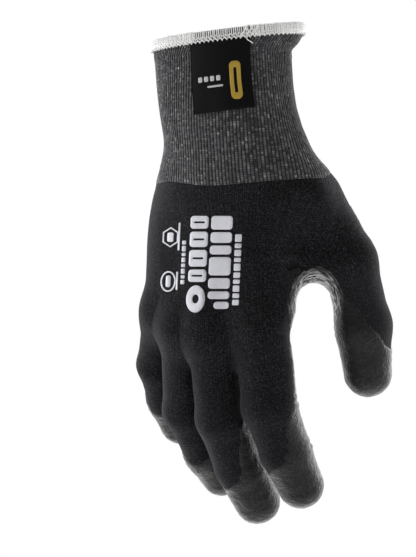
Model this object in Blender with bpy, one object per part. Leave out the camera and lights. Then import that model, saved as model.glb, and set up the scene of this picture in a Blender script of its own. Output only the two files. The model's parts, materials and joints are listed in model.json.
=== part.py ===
"""Cut resistant knitted glove for the right hand, fingers hanging down.

Axes: +Z runs up the arm to the cuff opening, -Y is the back of the hand,
+Y the palm, +X the thumb side.  The glove is a seamless knitted liner with a
rib cuff, an overlocked hem, an elastic yarn, a dipped coating on the grip
side, a label and a printed film on the back.  Liner and coating are divided
at the creases where the hand bends, and each crease is a hinge.
All shape work is in millimetres; meshes are written in metres.
The origin is the middle of the footprint, at the height of the lowest point.
"""
import bpy
import numpy as np
from math import radians, tan, sin, cos, pi
from mathutils import Matrix, Vector

for old in list(bpy.data.objects):
    bpy.data.objects.remove(old, do_unlink=True)

MM = 0.001             # metres in a millimetre

# ------------------------------------------------------------ dimensions
LINER_T = 1.0          # knitted wall
COAT_GAP = 0.3         # clearance between liner and coating or film
COAT_T = 0.5           # coating thickness
FILM_T = 0.25          # printed film thickness
CREASE = 1.2           # open width of a crease at rest
SEAM = 0.5             # clearance between pieces on one body
FINGER_GAP = 2.1       # half the least distance between neighbouring fingers

FINGERS = ('index', 'middle', 'ring', 'little')
# per digit: four centres along its axis, then the radius at each.
# fingers: knuckle, middle joint, end joint, tip
# thumb: root, base hinge region, end joint, tip
DIGITS = {
    'index': (((29.0, 1.0, -21.2), (27.6, 9.5, -59.6), (30.4, 20.0, -81.5), (33.2, 29.3, -97.4)),
              (13.6, 12.7, 11.7, 10.6)),
    'middle': (((4.8, -1.0, -24.1), (0.9, 11.5, -65.9), (1.6, 26.0, -89.1), (4.6, 37.0, -106.2)),
               (13.6, 12.4, 11.6, 10.6)),
    'ring': (((-12.4, 2.0, -22.4), (-23.1, 18.5, -62.3), (-21.2, 34.0, -83.4),
              (-18.9, 43.0, -94.5)), (12.8, 11.5, 10.8, 9.9)),
    'little': (((-27.7, 8.0, -15.9), (-41.0, 22.0, -41.1), (-43.8, 34.0, -57.8),
                (-42.9, 43.0, -70.9)), (11.8, 10.6, 9.8, 9.0)),
    'thumb': (((44.9, 18.0, 35.3), (57.7, 30.0, 7.7), (62.3, 38.0, -22.3), (61.8, 43.0, -44.4)),
              (16.0, 14.0, 12.9, 11.0)),
}
JOINTS = {name: np.array(centres) for name, (centres, _) in DIGITS.items()}
RADII = {name: radii for name, (_, radii) in DIGITS.items()}

# where each metacarpal starts under the wrist, and its radius
METACARPAL = {'index': ((24.0, 0.5, 42.0), 13.5), 'middle': ((14.0, -1.0, 42.0), 14.0),
              'ring': ((2.0, 0.5, 42.0), 14.0), 'little': ((-9.0, 4.0, 40.0), 14.5)}
# webs between the fingers: height on the two finger axes, radius
WEBS = (('index', 'middle', -37.0, 7.5), ('middle', 'ring', -36.0, 7.5),
        ('ring', 'little', -21.5, 7.5))
# web beside the thumb: two end centres, their two radii
THUMB_WEB = ((31.0, 8.0, 8.0), (52.0, 26.0, 8.0), 9.8, 9.8)
# pad on the little finger side of the palm: centre, half axes
HYPOTHENAR = ((-18.5, 9.0, 18.0), (18.0, 14.0, 36.0))
# line across the finger roots: x, z
ROOTS = ((-60.0, -27.5), (-28.0, -27.5), (-19.0, -36.0), (-9.0, -41.5), (14.0, -42.5),
         (60.0, -42.5))
# wrist and cuff sections: z, centre x, centre y, half width, half depth
SECTIONS = (
    (125.0, 8.2, 0.0, 34.6, 25.1), (112.0, 8.2, 0.0, 34.4, 24.9), (100.0, 8.4, 0.0, 34.0, 24.5),
    (90.0, 9.2, 0.0, 34.0, 24.5), (80.0, 10.8, 0.0, 34.2, 24.5), (70.0, 13.0, 0.5, 35.0, 24.5),
    (60.0, 15.8, 1.5, 36.8, 24.0), (50.0, 18.5, 3.0, 39.5, 23.0), (40.0, 19.5, 5.0, 41.5, 21.5),
    (25.0, 19.5, 6.0, 41.5, 19.5), (10.0, 18.0, 6.0, 40.0, 18.5))
SLEEVE_END = 26.0      # height where the sleeve shape fades out in the palm

# blend lengths of the shape field
SLEEVE_END_BLEND = 18.0
METACARPAL_BLEND = 12.0
HYPOTHENAR_BLEND = 10.0
PALM_BLEND = 16.0      # palm to sleeve
FINGER_BLEND = 3.0     # along a finger, and finger to web
ROOTS_BLEND = 8.0      # finger roots to palm
THUMB_BLEND = 4.0      # along the thumb
THUMB_WEB_BLEND = 6.0
THUMB_ROOT_BLEND = 12.0

# line where the rib cuff meets the hand: height at x = 0, rise towards the thumb
CUFF_LINE_Z, CUFF_LINE_SLOPE = 46.8, 0.085
CUFF_SIDES = 28
CUFF_BANDS, WRIST_BANDS = 5, 3
# axes of the two rib tubes, each from top to bottom
CUFF_AXIS = ((8.3, 0.0, 108.0), (9.3, 0.2, 60.0))
WRIST_AXIS = ((13.0, 0.5, 62.0), (16.0, 1.0, 44.0))
# cuff opening: a plane, slightly higher towards the thumb and the palm
RIM_Z, RIM_X, RIM_SLOPE_X, RIM_SLOPE_Y = 114.6, 8.3, 0.094, 0.058

HEM_H = 5.0            # depth of the overlocked hem
HEM_T = 1.0            # thread build-up on each side of the cuff wall
HEM_GAP = 0.45         # clearance between hem and cuff wall

YARN_R, YARN_TURNS, YARN_PITCH = 0.4, 4, 7.0
YARN_STEPS = 22        # segments in a turn
YARN_TOP = 98.0
YARN_INSET = 1.3       # from the inside of the wall to the yarn centre

LABEL_W, LABEL_H, LABEL_T = 28.0, 32.0, 0.9
LABEL_ANGLE = 28.0     # degrees from the middle of the back towards the thumb
LABEL_COLUMNS, LABEL_ROWS = 6, 5
LABEL_DROP = HEM_H + 0.4    # from the rim to the top edge
LABEL_SHIFT = 0.2      # sideways offset along the cuff surface
LABEL_LEAN = 0.108     # sideways offset per millimetre below the rim
LABEL_FOLLOW = 0.9     # share of the sections' sideways drift followed
LABEL_GAP = 1.0        # between cuff and label
LABEL_HINGE_OUT = 1.6  # from the label's inner face out to its hinge line

DIP_Y = 11.5           # the palm is coated beyond this depth
DIP_TOP = 35.0         # and below this height
# below this height the coating edge on the knuckle band moves palmward
KNUCKLE_DIP_TOP, KNUCKLE_DIP_SLOPE = -20.0, 0.12
# thumb root coating: facing direction, distance from the thumb axis
ROOT_DIP_DIRECTION, ROOT_DIP_START = (-0.45, 0.89, 0.0), 1.0

# printed films on the back: low x, high x, low z, high z
PRINTS = {'main': (-8.0, 27.0, -15.0, 29.0), 'side': (-18.0, -9.0, -8.0, 27.0)}
PRINT_Y = -3.0         # the films stay on the back side of this depth

SIDES, BANDS = 14, 2   # cells round and along a digit segment
DOME_ANGLES = (32.0, 62.0)  # rings of a digit tip, degrees from its equator
GRIP_COLS = 3          # columns on either side of the pad that are dipped
BASE_GRIP_COLS = 2     # the same on the finger bases
BASE_START_Z = -20.0   # where the axis of a finger base tube starts
BASE_CLEARANCE = 1.6 * SEAM  # from the root line to a finger base

# surface grid of the hand: two corners of the box, cell size
GRID_LOW, GRID_HIGH, GRID_CELL = (-62.0, -34.0, -62.0), (92.0, 66.0, 64.0), 6.6
# reach of snapping to a cut, and of welding, with and without a field
SNAP, WELD = 1.3, 0.7
FACET_SNAP = FACET_WELD = 0.15

# hinge ranges from rest, degrees
WRIST = (-25.0, 25.0)
KNUCKLE = (-8.0, 25.0)
MIDDLE_JOINT = (-12.0, 50.0)
END_RATIO = 0.6        # an end joint follows its middle joint
END_JOINT = (MIDDLE_JOINT[0] * END_RATIO, MIDDLE_JOINT[1] * END_RATIO)
THUMB_SWING = (-18.0, 4.0)
THUMB_SWING_SPARE = 6.0     # extra room cut beyond the upper limit
THUMB_BASE = (-5.0, 8.0)
THUMB_END = (-8.0, 10.0)
LABEL_FLAP = (0.0, 150.0)

# hinge places
WRIST_POINT = (13.5, 0.5, 61.0)
KNUCKLE_POINT = (0.0, 3.0, -19.0)
# the middle finger bends a little towards the index, clear of the ring finger
MIDDLE_FINGER_AXIS = (1.0, -0.074, -0.046)
THUMB_AXIS = (0.59, 0.71, 0.29)
THUMB_BASE_SHARE = 0.27     # base hinge, between the second and third thumb centres
SWING_POINT = (50.0, 3.5, 12.0)
SWING_TOP = 36.0       # the thumb root ends here

DOWN = np.array((0.0, 0.0, -1.0))
UP = np.array((0.0, 0.0, 1.0))
ACROSS = np.array((1.0, 0.0, 0.0))
PALMWARD = np.array((0.0, 1.0, 0.0))


# ------------------------------------------------------------ shape field
# A field takes an array of points and is negative inside the shape.
def unit(vector):
    vector = np.asarray(vector, float)
    return vector / np.linalg.norm(vector)


def cone(points, start, end, start_radius, end_radius):
    """Signed distance to a rounded cone between two spheres."""
    start = np.asarray(start, float)
    span = np.asarray(end, float) - start
    share = np.clip(((points - start) @ span) / (span @ span), 0, 1)
    offset = points - start - share[:, None] * span
    return np.sqrt((offset * offset).sum(1)) - (start_radius + (end_radius - start_radius) * share)


def blend_min(first, second, length):
    share = np.clip(0.5 + 0.5 * (second - first) / length, 0, 1)
    return second * (1 - share) + first * share - length * share * (1 - share)


def ellipsoid(points, centre, half_axes):
    half_axes = np.asarray(half_axes, float)
    scaled = (points - np.asarray(centre, float)) / half_axes
    length = np.sqrt((scaled * scaled).sum(1))
    slope = np.sqrt((scaled * scaled / (half_axes * half_axes)).sum(1))
    return length * (length - 1) / np.maximum(slope, 1e-9)


def digit_chain(points, name, blend):
    """Three cones along a digit."""
    joints, radii = JOINTS[name], RADII[name]
    result = cone(points, joints[0], joints[1], radii[0], radii[1])
    for i in (1, 2):
        segment = cone(points, joints[i], joints[i + 1], radii[i], radii[i + 1])
        result = blend_min(result, segment, blend)
    return result


def finger_field(name):
    """One finger, flattened where it lies against its neighbours."""
    place = FINGERS.index(name)
    beside = [FINGERS[i] for i in (place - 1, place + 1) if 0 <= i < len(FINGERS)]

    def field(points):
        own = digit_chain(points, name, FINGER_BLEND)
        result = own
        for neighbour in beside:
            other = digit_chain(points, neighbour, FINGER_BLEND)
            result = np.maximum(result, (own - other) / 2 + FINGER_GAP)
        return result
    return field


def thumb_field(points):
    return digit_chain(points, 'thumb', THUMB_BLEND)


def section_at(z):
    """Centre x, centre y, half width and half depth at a height."""
    heights, *columns = np.array(SECTIONS)[::-1].T
    return [np.interp(z, heights, column) for column in columns]


def sleeve(points):
    z = points[:, 2]
    centre_x, centre_y, width, depth = section_at(z)
    across, through = (points[:, 0] - centre_x) / width, (points[:, 1] - centre_y) / depth
    length = np.sqrt(across * across + through * through)
    slope = np.sqrt(across * across / (width * width) + through * through / (depth * depth))
    wall = np.where(length < 1e-6, -depth, length * (length - 1) / np.maximum(slope, 1e-9))
    return -blend_min(-wall, -(SLEEVE_END - z), SLEEVE_END_BLEND)


def on_axis(name, z):
    """Point at height z on the line from knuckle to middle joint."""
    start, end = JOINTS[name][:2]
    return start + (end - start) * ((z - start[2]) / (end[2] - start[2]))


def palm_field(points):
    palm = None
    for name in FINGERS:
        base, base_radius = METACARPAL[name]
        bone = cone(points, base, JOINTS[name][0], base_radius, RADII[name][0])
        palm = bone if palm is None else blend_min(palm, bone, METACARPAL_BLEND)
    return blend_min(palm, ellipsoid(points, *HYPOTHENAR), HYPOTHENAR_BLEND)


def finger_roots_field(points):
    roots = np.min([digit_chain(points, name, FINGER_BLEND) for name in FINGERS], axis=0)
    for first, second, z, web_radius in WEBS:
        web = cone(points, on_axis(first, z), on_axis(second, z), web_radius, web_radius)
        roots = blend_min(roots, web, FINGER_BLEND)
    return roots


def hand_field(points):
    """The whole hand: sleeve, palm, four fingers, webs and thumb."""
    hand = blend_min(sleeve(points), palm_field(points), PALM_BLEND)
    hand = blend_min(hand, finger_roots_field(points), ROOTS_BLEND)
    thumb = blend_min(thumb_field(points), cone(points, *THUMB_WEB), THUMB_WEB_BLEND)
    return blend_min(hand, thumb, THUMB_ROOT_BLEND)


def gradient(field, points, step=0.05):
    result = np.empty_like(points)
    for i in range(3):
        offset = np.zeros(3)
        offset[i] = step
        result[:, i] = (field(points + offset) - field(points - offset)) / (2 * step)
    return result


def normals(field, points):
    slope = gradient(field, points, 0.4)
    return slope / np.maximum(np.linalg.norm(slope, axis=1), 1e-9)[:, None]


def newton_step(field, points, slope):
    """Offset along the gradient that brings the field to zero."""
    return slope * (field(points) / np.maximum((slope * slope).sum(1), 1e-6))[:, None]


def settle(field, points, rounds):
    """Move points along the gradient onto the surface."""
    points = points.copy()
    for _ in range(rounds):
        points -= newton_step(field, points, gradient(field, points)) * 0.9
    return points


def radius(field, centres, directions):
    """Distance from each centre along its direction to the surface."""
    low, high = np.zeros(len(centres)), np.full(len(centres), 60.0)
    for _ in range(26):
        middle = (low + high) / 2
        inside = field(centres + middle[:, None] * directions) < 0
        low, high = np.where(inside, middle, low), np.where(inside, high, middle)
    return (low + high) / 2


# ------------------------------------------------------------ hinges
class Hinge:
    """A crease: point, axis, rest directions on both sides, and its range.

    A positive turn carries the distal side towards `axis x along`.
    `spare` widens the room cut for the upper limit, in degrees."""

    def __init__(self, point, axis, before, after, limits, spare=0.0):
        self.point = np.asarray(point, float)
        self.along = unit(unit(before) + unit(after))
        axis = np.asarray(axis, float)
        self.axis = unit(axis - (axis @ self.along) * self.along)
        self.inner = np.cross(self.axis, self.along)
        self.limits = limits
        self.inner_slope = tan(radians(max(limits[1] + spare, 0.0)) / 2)
        self.outer_slope = tan(radians(max(-limits[0], 0.0)) / 2)

    def room(self, points):
        depth = (points - self.point) @ self.inner
        return (CREASE / 2 + np.maximum(depth, 0) * self.inner_slope
                + np.maximum(-depth, 0) * self.outer_slope)

    def near(self, points):
        """Positive on the body side."""
        return -((points - self.point) @ self.along) - self.room(points)

    def far(self, points):
        """Positive on the moving side."""
        return (points - self.point) @ self.along - self.room(points)


# body: the body that carries it; the label's hinge is added with the label
PARENTS = {'palm': 'cuff', 'label': 'cuff', 'knuckles': 'palm', 'thumb_root': 'palm',
           'thumb_middle': 'thumb_root', 'thumb_tip': 'thumb_middle'}
for finger in FINGERS:
    PARENTS[finger + '_middle'] = 'knuckles'
    PARENTS[finger + '_tip'] = finger + '_middle'


def make_hinges():
    """Hinges under the name of the body that turns on them."""
    hinges = {
        'palm': Hinge(WRIST_POINT, ACROSS, DOWN, DOWN, WRIST),
        'knuckles': Hinge(KNUCKLE_POINT, JOINTS['index'][0] - JOINTS['little'][0],
                          DOWN, DOWN, KNUCKLE)}
    for name in FINGERS:
        joints = JOINTS[name]
        base, middle, end = joints[1:] - joints[:-1]
        axis = MIDDLE_FINGER_AXIS if name == 'middle' else ACROSS
        hinges[name + '_middle'] = Hinge(joints[1], axis, base, middle, MIDDLE_JOINT)
        hinges[name + '_tip'] = Hinge(joints[2], axis, middle, end, END_JOINT)
    joints = JOINTS['thumb']
    middle, end = joints[2] - joints[1], joints[3] - joints[2]
    hinges['thumb_middle'] = Hinge(joints[1] + middle * THUMB_BASE_SHARE, THUMB_AXIS,
                                   middle, middle, THUMB_BASE)
    hinges['thumb_tip'] = Hinge(joints[2], THUMB_AXIS, middle, end, THUMB_END)
    # the thumb swings like a door about an upright line beside the web
    outwards = unit((0.66, 0.75, 0.0))
    hinges['thumb_root'] = Hinge(SWING_POINT, DOWN, outwards, outwards, THUMB_SWING,
                                 THUMB_SWING_SPARE)
    return hinges


HINGES = make_hinges()


# ------------------------------------------------------------ cutting sides
# Each is positive where the material stays.
RIM_NORMAL = unit((-RIM_SLOPE_X, -RIM_SLOPE_Y, 1.0))
RIM_POINT = np.array((RIM_X, 0.0, RIM_Z))


def below_rim(points):
    return -((points - RIM_POINT) @ RIM_NORMAL)


def above_cuff_line(points):
    return points[:, 2] - CUFF_LINE_Z - CUFF_LINE_SLOPE * points[:, 0]


def thumb_side(points):
    return np.minimum(HINGES['thumb_root'].far(points), SWING_TOP - CREASE / 2 - points[:, 2])


def palm_side(points):
    return np.maximum(HINGES['thumb_root'].near(points), points[:, 2] - SWING_TOP - CREASE / 2)


def above_roots(points):
    line_x, line_z = np.array(ROOTS).T
    return points[:, 2] - np.interp(points[:, 0], line_x, line_z)


def palm_grip(points):
    return np.minimum(points[:, 1] - DIP_Y, DIP_TOP - points[:, 2])


def knuckle_grip(points):
    return points[:, 1] - DIP_Y - KNUCKLE_DIP_SLOPE * (KNUCKLE_DIP_TOP - points[:, 2])


def thumb_root_grip(points):
    start, end = JOINTS['thumb'][:2]
    along = unit(end - start)
    foot = start + ((points - start) @ along)[:, None] * along
    return (points - foot) @ unit(ROOT_DIP_DIRECTION) - ROOT_DIP_START


def print_window(low_x, high_x, low_z, high_z):
    def side(points):
        x, y, z = points.T
        return np.min([x - low_x, high_x - x, z - low_z, high_z - z, PRINT_Y - y], axis=0)
    return side


# ------------------------------------------------------------ surface of a field
def surface_net(field, low, high, cell):
    """Quads over the zero surface of a field on a regular grid."""
    low = np.asarray(low, float)
    count = np.ceil((np.asarray(high) - low) / cell).astype(int) + 1
    axes = [low[i] + cell * np.arange(count[i]) for i in range(3)]
    grid = np.stack(np.meshgrid(*axes, indexing='ij'), -1)
    values = field(grid.reshape(-1, 3)).reshape(count)
    inside = values < 0
    corners = [(i, j, k) for i in (0, 1) for j in (0, 1) for k in (0, 1)]
    filled = np.zeros(count - 1, int)
    for i, j, k in corners:
        filled += inside[i:count[0] - 1 + i, j:count[1] - 1 + j, k:count[2] - 1 + k]
    active = (filled > 0) & (filled < 8)
    cells = np.argwhere(active)
    index = -np.ones(active.shape, int)
    index[active] = np.arange(len(cells))

    # one vertex per cell, the mean of the crossings on its edges
    total = np.zeros((len(cells), 3))
    crossings = np.zeros(len(cells))
    for start in corners:
        for axis in range(3):
            if start[axis]:
                continue
            end = list(start)
            end[axis] = 1
            at_start = values[tuple((cells + start).T)]
            at_end = values[tuple((cells + end).T)]
            hit = (at_start < 0) != (at_end < 0)
            share = at_start[hit] / (at_start[hit] - at_end[hit])
            total[hit] += np.array(start, float) + share[:, None] * (np.array(end) - start)
            crossings[hit] += 1
    verts = low + cell * (cells + total / crossings[:, None])

    # one quad round every grid edge that crosses the surface
    quads = []
    for axis in range(3):
        u, v = (axis + 1) % 3, (axis + 2) % 3
        first, second = [slice(None)] * 3, [slice(None)] * 3
        first[axis], second[axis] = slice(0, count[axis] - 1), slice(1, count[axis])
        edges = np.argwhere(inside[tuple(first)] != inside[tuple(second)])
        edges = edges[(edges[:, u] > 0) & (edges[:, v] > 0)
                      & (edges[:, u] < count[u] - 1) & (edges[:, v] < count[v] - 1)]
        ring = []
        for step_u, step_v in ((-1, -1), (0, -1), (0, 0), (-1, 0)):
            beside = edges.copy()
            beside[:, u] += step_u
            beside[:, v] += step_v
            ring.append(index[tuple(beside.T)])
        ring = np.stack(ring, 1)
        turned = ~inside[tuple(edges.T)]
        ring[turned] = ring[turned][:, ::-1]
        quads.append(ring)
    return verts, np.concatenate(quads)


def triangles(verts, quads):
    """Split quads along their shorter diagonal."""
    first = np.linalg.norm(verts[quads[:, 0]] - verts[quads[:, 2]], axis=1)
    second = np.linalg.norm(verts[quads[:, 1]] - verts[quads[:, 3]], axis=1)
    short = quads[first <= second]
    other = quads[first > second]
    return np.concatenate([short[:, [0, 1, 2]], short[:, [0, 2, 3]],
                           other[:, [0, 1, 3]], other[:, [1, 2, 3]]])


# ------------------------------------------------------------ trimming
def distinct(tris):
    """Triangles with three different corners."""
    return tris[(tris[:, 0] != tris[:, 1]) & (tris[:, 1] != tris[:, 2])
                & (tris[:, 2] != tris[:, 0])]


def weld(verts, tris, signed, reach):
    """Merge the ends of very short edges."""
    merged = np.arange(len(verts))

    def root(i):
        while merged[i] != i:
            i = merged[i]
        return i
    for k in range(3):
        starts, ends = tris[:, k], tris[:, (k + 1) % 3]
        short = np.linalg.norm(verts[starts] - verts[ends], axis=1) < reach
        for start, end in zip(starts[short], ends[short]):
            start, end = root(start), root(end)
            if start != end:
                # the point that lies on the cut stays
                start_stays = (signed[start] == 0) >= (signed[end] == 0)
                keep, drop = (start, end) if start_stays else (end, start)
                merged[drop] = keep
    return distinct(np.array([root(i) for i in range(len(verts))])[tris])


def unpinch(tris):
    """Where fans of triangles meet in a single corner, drop the smallest fan."""
    tris = [tuple(int(i) for i in tri) for tri in tris]
    while True:
        uses = {}
        for tri in tris:
            for k in range(3):
                edge = tuple(sorted((tri[k], tri[(k + 1) % 3])))
                uses[edge] = uses.get(edge, 0) + 1
        rim_edges = {}
        for edge, count in uses.items():
            if count == 1:
                for i in edge:
                    rim_edges[i] = rim_edges.get(i, 0) + 1
        pinched = [i for i, count in rim_edges.items() if count > 2]
        if not pinched:
            return np.array(tris, int)
        corner = min(pinched)
        fans = []
        for tri in tris:
            if corner not in tri:
                continue
            joined = [fan for fan in fans if any(len(set(tri) & set(t)) == 2 for t in fan)]
            fans = [fan for fan in fans if fan not in joined] + [sum(joined, []) + [tri]]
        smallest = set(min(fans, key=len))
        tris = [tri for tri in tris if tri not in smallest]


def tidy(verts, tris):
    """Drop unused vertices."""
    used = np.unique(tris)
    index = -np.ones(len(verts), int)
    index[used] = np.arange(len(used))
    return verts[used], index[tris]


def largest(verts, tris):
    """Keep the largest connected part."""
    label = np.arange(len(verts))
    while True:
        lowest = label[tris].min(1)
        spread = label.copy()
        for k in range(3):
            np.minimum.at(spread, tris[:, k], lowest)
        if (spread == label).all():
            break
        label = spread
    ids, sizes = np.unique(label[tris[:, 0]], return_counts=True)
    return tidy(verts, tris[label[tris[:, 0]] == ids[np.argmax(sizes)]])


def trim(verts, tris, side, field=None):
    """Keep the part of a triangle mesh where side(points) >= 0.

    With a field, corners close to the cut slide along the surface on to it;
    without one nothing moves, so the result lies on the same facets."""
    verts = verts.copy()
    near = np.abs(side(verts)) < (SNAP if field else FACET_SNAP)
    if field and near.any():
        moved = verts[near]
        for _ in range(6):
            moved -= newton_step(side, moved, gradient(side, moved, 0.02))
            moved = settle(field, moved, 1)
        verts[near] = moved
    signed = side(verts)
    signed[near] = 0.0
    tris = weld(verts, tris, signed, WELD if field else FACET_WELD)
    points = list(verts)
    made = {}
    kept = []

    def cut(i, j):
        key = (min(i, j), max(i, j))
        if key not in made:
            share = signed[i] / (signed[i] - signed[j])
            made[key] = len(points)
            points.append(verts[i] + share * (verts[j] - verts[i]))
        return made[key]
    for tri in tris:
        signs = np.sign(signed[tri])
        if max(signs) <= 0:
            continue
        if min(signs) >= 0:
            kept.append(tuple(tri))
            continue
        outline = []
        for k in range(3):
            following = (k + 1) % 3
            if signs[k] >= 0:
                outline.append(tri[k])
            if signs[k] * signs[following] < 0:
                outline.append(cut(tri[k], tri[following]))
        for k in range(1, len(outline) - 1):
            kept.append((outline[0], outline[k], outline[k + 1]))
    tris = distinct(np.array(kept, int))
    return largest(*tidy(np.array(points), unpinch(tris)))


# ------------------------------------------------------------ rings and sweeps
def tube(field, start, end, pad_direction, start_side, end_side, sides, bands):
    """Rings around the line start-end, trimmed by start_side and end_side.

    Column 0 faces pad_direction.  Without an end_side the tube closes in a
    dome.  Returns the rings (rows, sides, 3) and the dome's closing point."""
    start, end = np.asarray(start, float), np.asarray(end, float)
    along = unit(end - start)
    length = np.linalg.norm(end - start)
    pad = unit(pad_direction - (pad_direction @ along) * along)
    angles = np.arange(sides) * 2 * pi / sides
    spokes = np.cos(angles)[:, None] * pad + np.sin(angles)[:, None] * np.cross(along, pad)

    def surface(distance):
        centres = start + distance[:, None] * along
        return centres + radius(field, centres, spokes)[:, None] * spokes

    def solve(side, cut_off, kept):
        """Find side = 0 between a distance cut off and a distance kept."""
        cut_off, kept = np.full(sides, cut_off), np.full(sides, kept)
        for _ in range(24):
            middle = (cut_off + kept) / 2
            stays = side(surface(middle)) > 0
            cut_off, kept = np.where(stays, cut_off, middle), np.where(stays, middle, kept)
        return (cut_off + kept) / 2
    dome = end_side is None
    first = solve(start_side, -16.0, 0.8 * length)
    last = np.full(sides, length) if dome else solve(end_side, length + 16.0, 0.3 * length)
    rings = [surface(first + (last - first) * share) for share in np.linspace(0, 1, bands + 1)]
    if not dome:
        return np.array(rings), None
    centres = np.repeat(end[None], sides, 0)
    for angle in DOME_ANGLES:
        rays = cos(radians(angle)) * spokes + sin(radians(angle)) * along
        rings.append(centres + radius(field, centres, rays)[:, None] * rays)
    return np.array(rings), end + radius(field, end[None], along[None])[0] * along


def ring_mesh(rings, tip=None, keep=None):
    """Quads between rings; keep(row, column) picks cells.  A tip adds a fan."""
    rows, sides = rings.shape[:2]
    verts = rings.reshape(-1, 3)
    faces = []
    for r in range(rows - 1):
        for c in range(sides):
            if keep is None or keep(r, c):
                d = (c + 1) % sides
                faces.append((r * sides + c, r * sides + d,
                              (r + 1) * sides + d, (r + 1) * sides + c))
    if tip is not None:
        verts = np.vstack([verts, tip])
        last = (rows - 1) * sides
        faces += [(last + c, last + (c + 1) % sides, len(verts) - 1) for c in range(sides)]
    return verts, faces


def sweep(path, outwards, profile, closed):
    """Sweep a closed profile of (outward, up) points along a path."""
    count, sides = len(path), len(profile)
    verts = np.array([path[i] + out * outwards[i] + up * UP
                      for i in range(count) for out, up in profile])
    faces = []
    for i in range(count if closed else count - 1):
        j = (i + 1) % count
        for c in range(sides):
            d = (c + 1) % sides
            faces.append((i * sides + c, i * sides + d, j * sides + d, j * sides + c))
    if not closed:
        faces.append(tuple(reversed(range(sides))))
        faces.append(tuple((count - 1) * sides + c for c in range(sides)))
    return verts, faces


# ------------------------------------------------------------ registering pieces
BUILT = []              # (object name, vertices, faces, thickness, material key, body)


def outward(verts, faces):
    """Turn faces so that they point away from the middle of the shape."""
    total = 0.0
    middle = verts.mean(0)
    for face in faces:
        ring = verts[list(face)]
        area = sum(np.cross(ring[i] - ring[0], ring[i + 1] - ring[0])
                   for i in range(1, len(face) - 1))
        total += area @ (ring.mean(0) - middle)
    return [tuple(reversed(face)) for face in faces] if total < 0 else faces


def add_piece(name, mesh, material_key, body, thick=0.0, lift_from=None):
    """Register a surface; thick > 0 makes it a shell on its outer side,
    thick < 0 on its inner side, 0 leaves a closed mesh as it is.
    With a field in lift_from it is raised off that field by COAT_GAP."""
    verts, faces = mesh
    used = sorted({i for face in faces for i in face})
    index = {old: new for new, old in enumerate(used)}
    verts = verts[used]
    faces = outward(verts, [tuple(index[i] for i in face) for face in faces])
    if lift_from:
        verts = verts + normals(lift_from, verts) * COAT_GAP
    BUILT.append((name, verts, faces, thick, material_key, body))


def add_liner(name, mesh, body):
    add_piece(name + '_liner', mesh, 'knit', body, -LINER_T)


def add_coating(name, mesh, body, field):
    add_piece(name + '_coating', mesh, 'coating', body, COAT_T, field)


# ------------------------------------------------------------ cuff
def in_rim_plane(vectors):
    return np.array([unit(v - (v @ RIM_NORMAL) * RIM_NORMAL) for v in vectors])


def build_cuff():
    """Rib tubes on both sides of the wrist crease; returns the rim points."""
    wrist = HINGES['palm']
    cuff, _ = tube(hand_field, *CUFF_AXIS, PALMWARD, below_rim, wrist.near,
                   CUFF_SIDES, CUFF_BANDS)
    add_piece('cuff_rib', ring_mesh(cuff), 'rib', 'cuff', -LINER_T)
    band, _ = tube(hand_field, *WRIST_AXIS, PALMWARD, wrist.far,
                   lambda points: above_cuff_line(points) - SEAM / 2, CUFF_SIDES, WRIST_BANDS)
    add_piece('cuff_rib_wrist', ring_mesh(band), 'rib', 'palm', -LINER_T)
    return cuff[0]


def build_hem(rim):
    """Thread wrapped over the edge of the cuff, a ring of U section."""
    outer, inner = HEM_GAP, -LINER_T - HEM_GAP
    top = HEM_T + HEM_GAP
    profile = [(outer, -HEM_H), (outer + HEM_T, -HEM_H), (outer + HEM_T, top),
               (inner - HEM_T, top), (inner - HEM_T, -HEM_H), (inner, -HEM_H),
               (inner, HEM_GAP), (outer, HEM_GAP)]
    outwards = in_rim_plane(normals(hand_field, rim))
    add_piece('hem_overlock', sweep(rim, outwards, profile, True), 'thread', 'cuff')


def build_yarn():
    """Elastic yarn: a descending spiral inside the cuff, triangular in section."""
    turns = np.arange(YARN_TURNS * YARN_STEPS + 1) / YARN_STEPS
    z = YARN_TOP - YARN_PITCH * turns
    centre_x, centre_y, _, _ = section_at(z)
    centres = np.stack([centre_x, centre_y, z], 1)
    outwards = np.stack([np.sin(2 * pi * turns), -np.cos(2 * pi * turns), np.zeros_like(turns)], 1)
    reach = radius(hand_field, centres, outwards) - LINER_T - YARN_INSET
    path = centres + reach[:, None] * outwards
    profile = [(YARN_R * cos(angle), YARN_R * sin(angle)) for angle in (0, 2 * pi / 3, 4 * pi / 3)]
    add_piece('cuff_elastic_yarn', sweep(path, outwards, profile, False), 'elastic', 'cuff')


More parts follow.
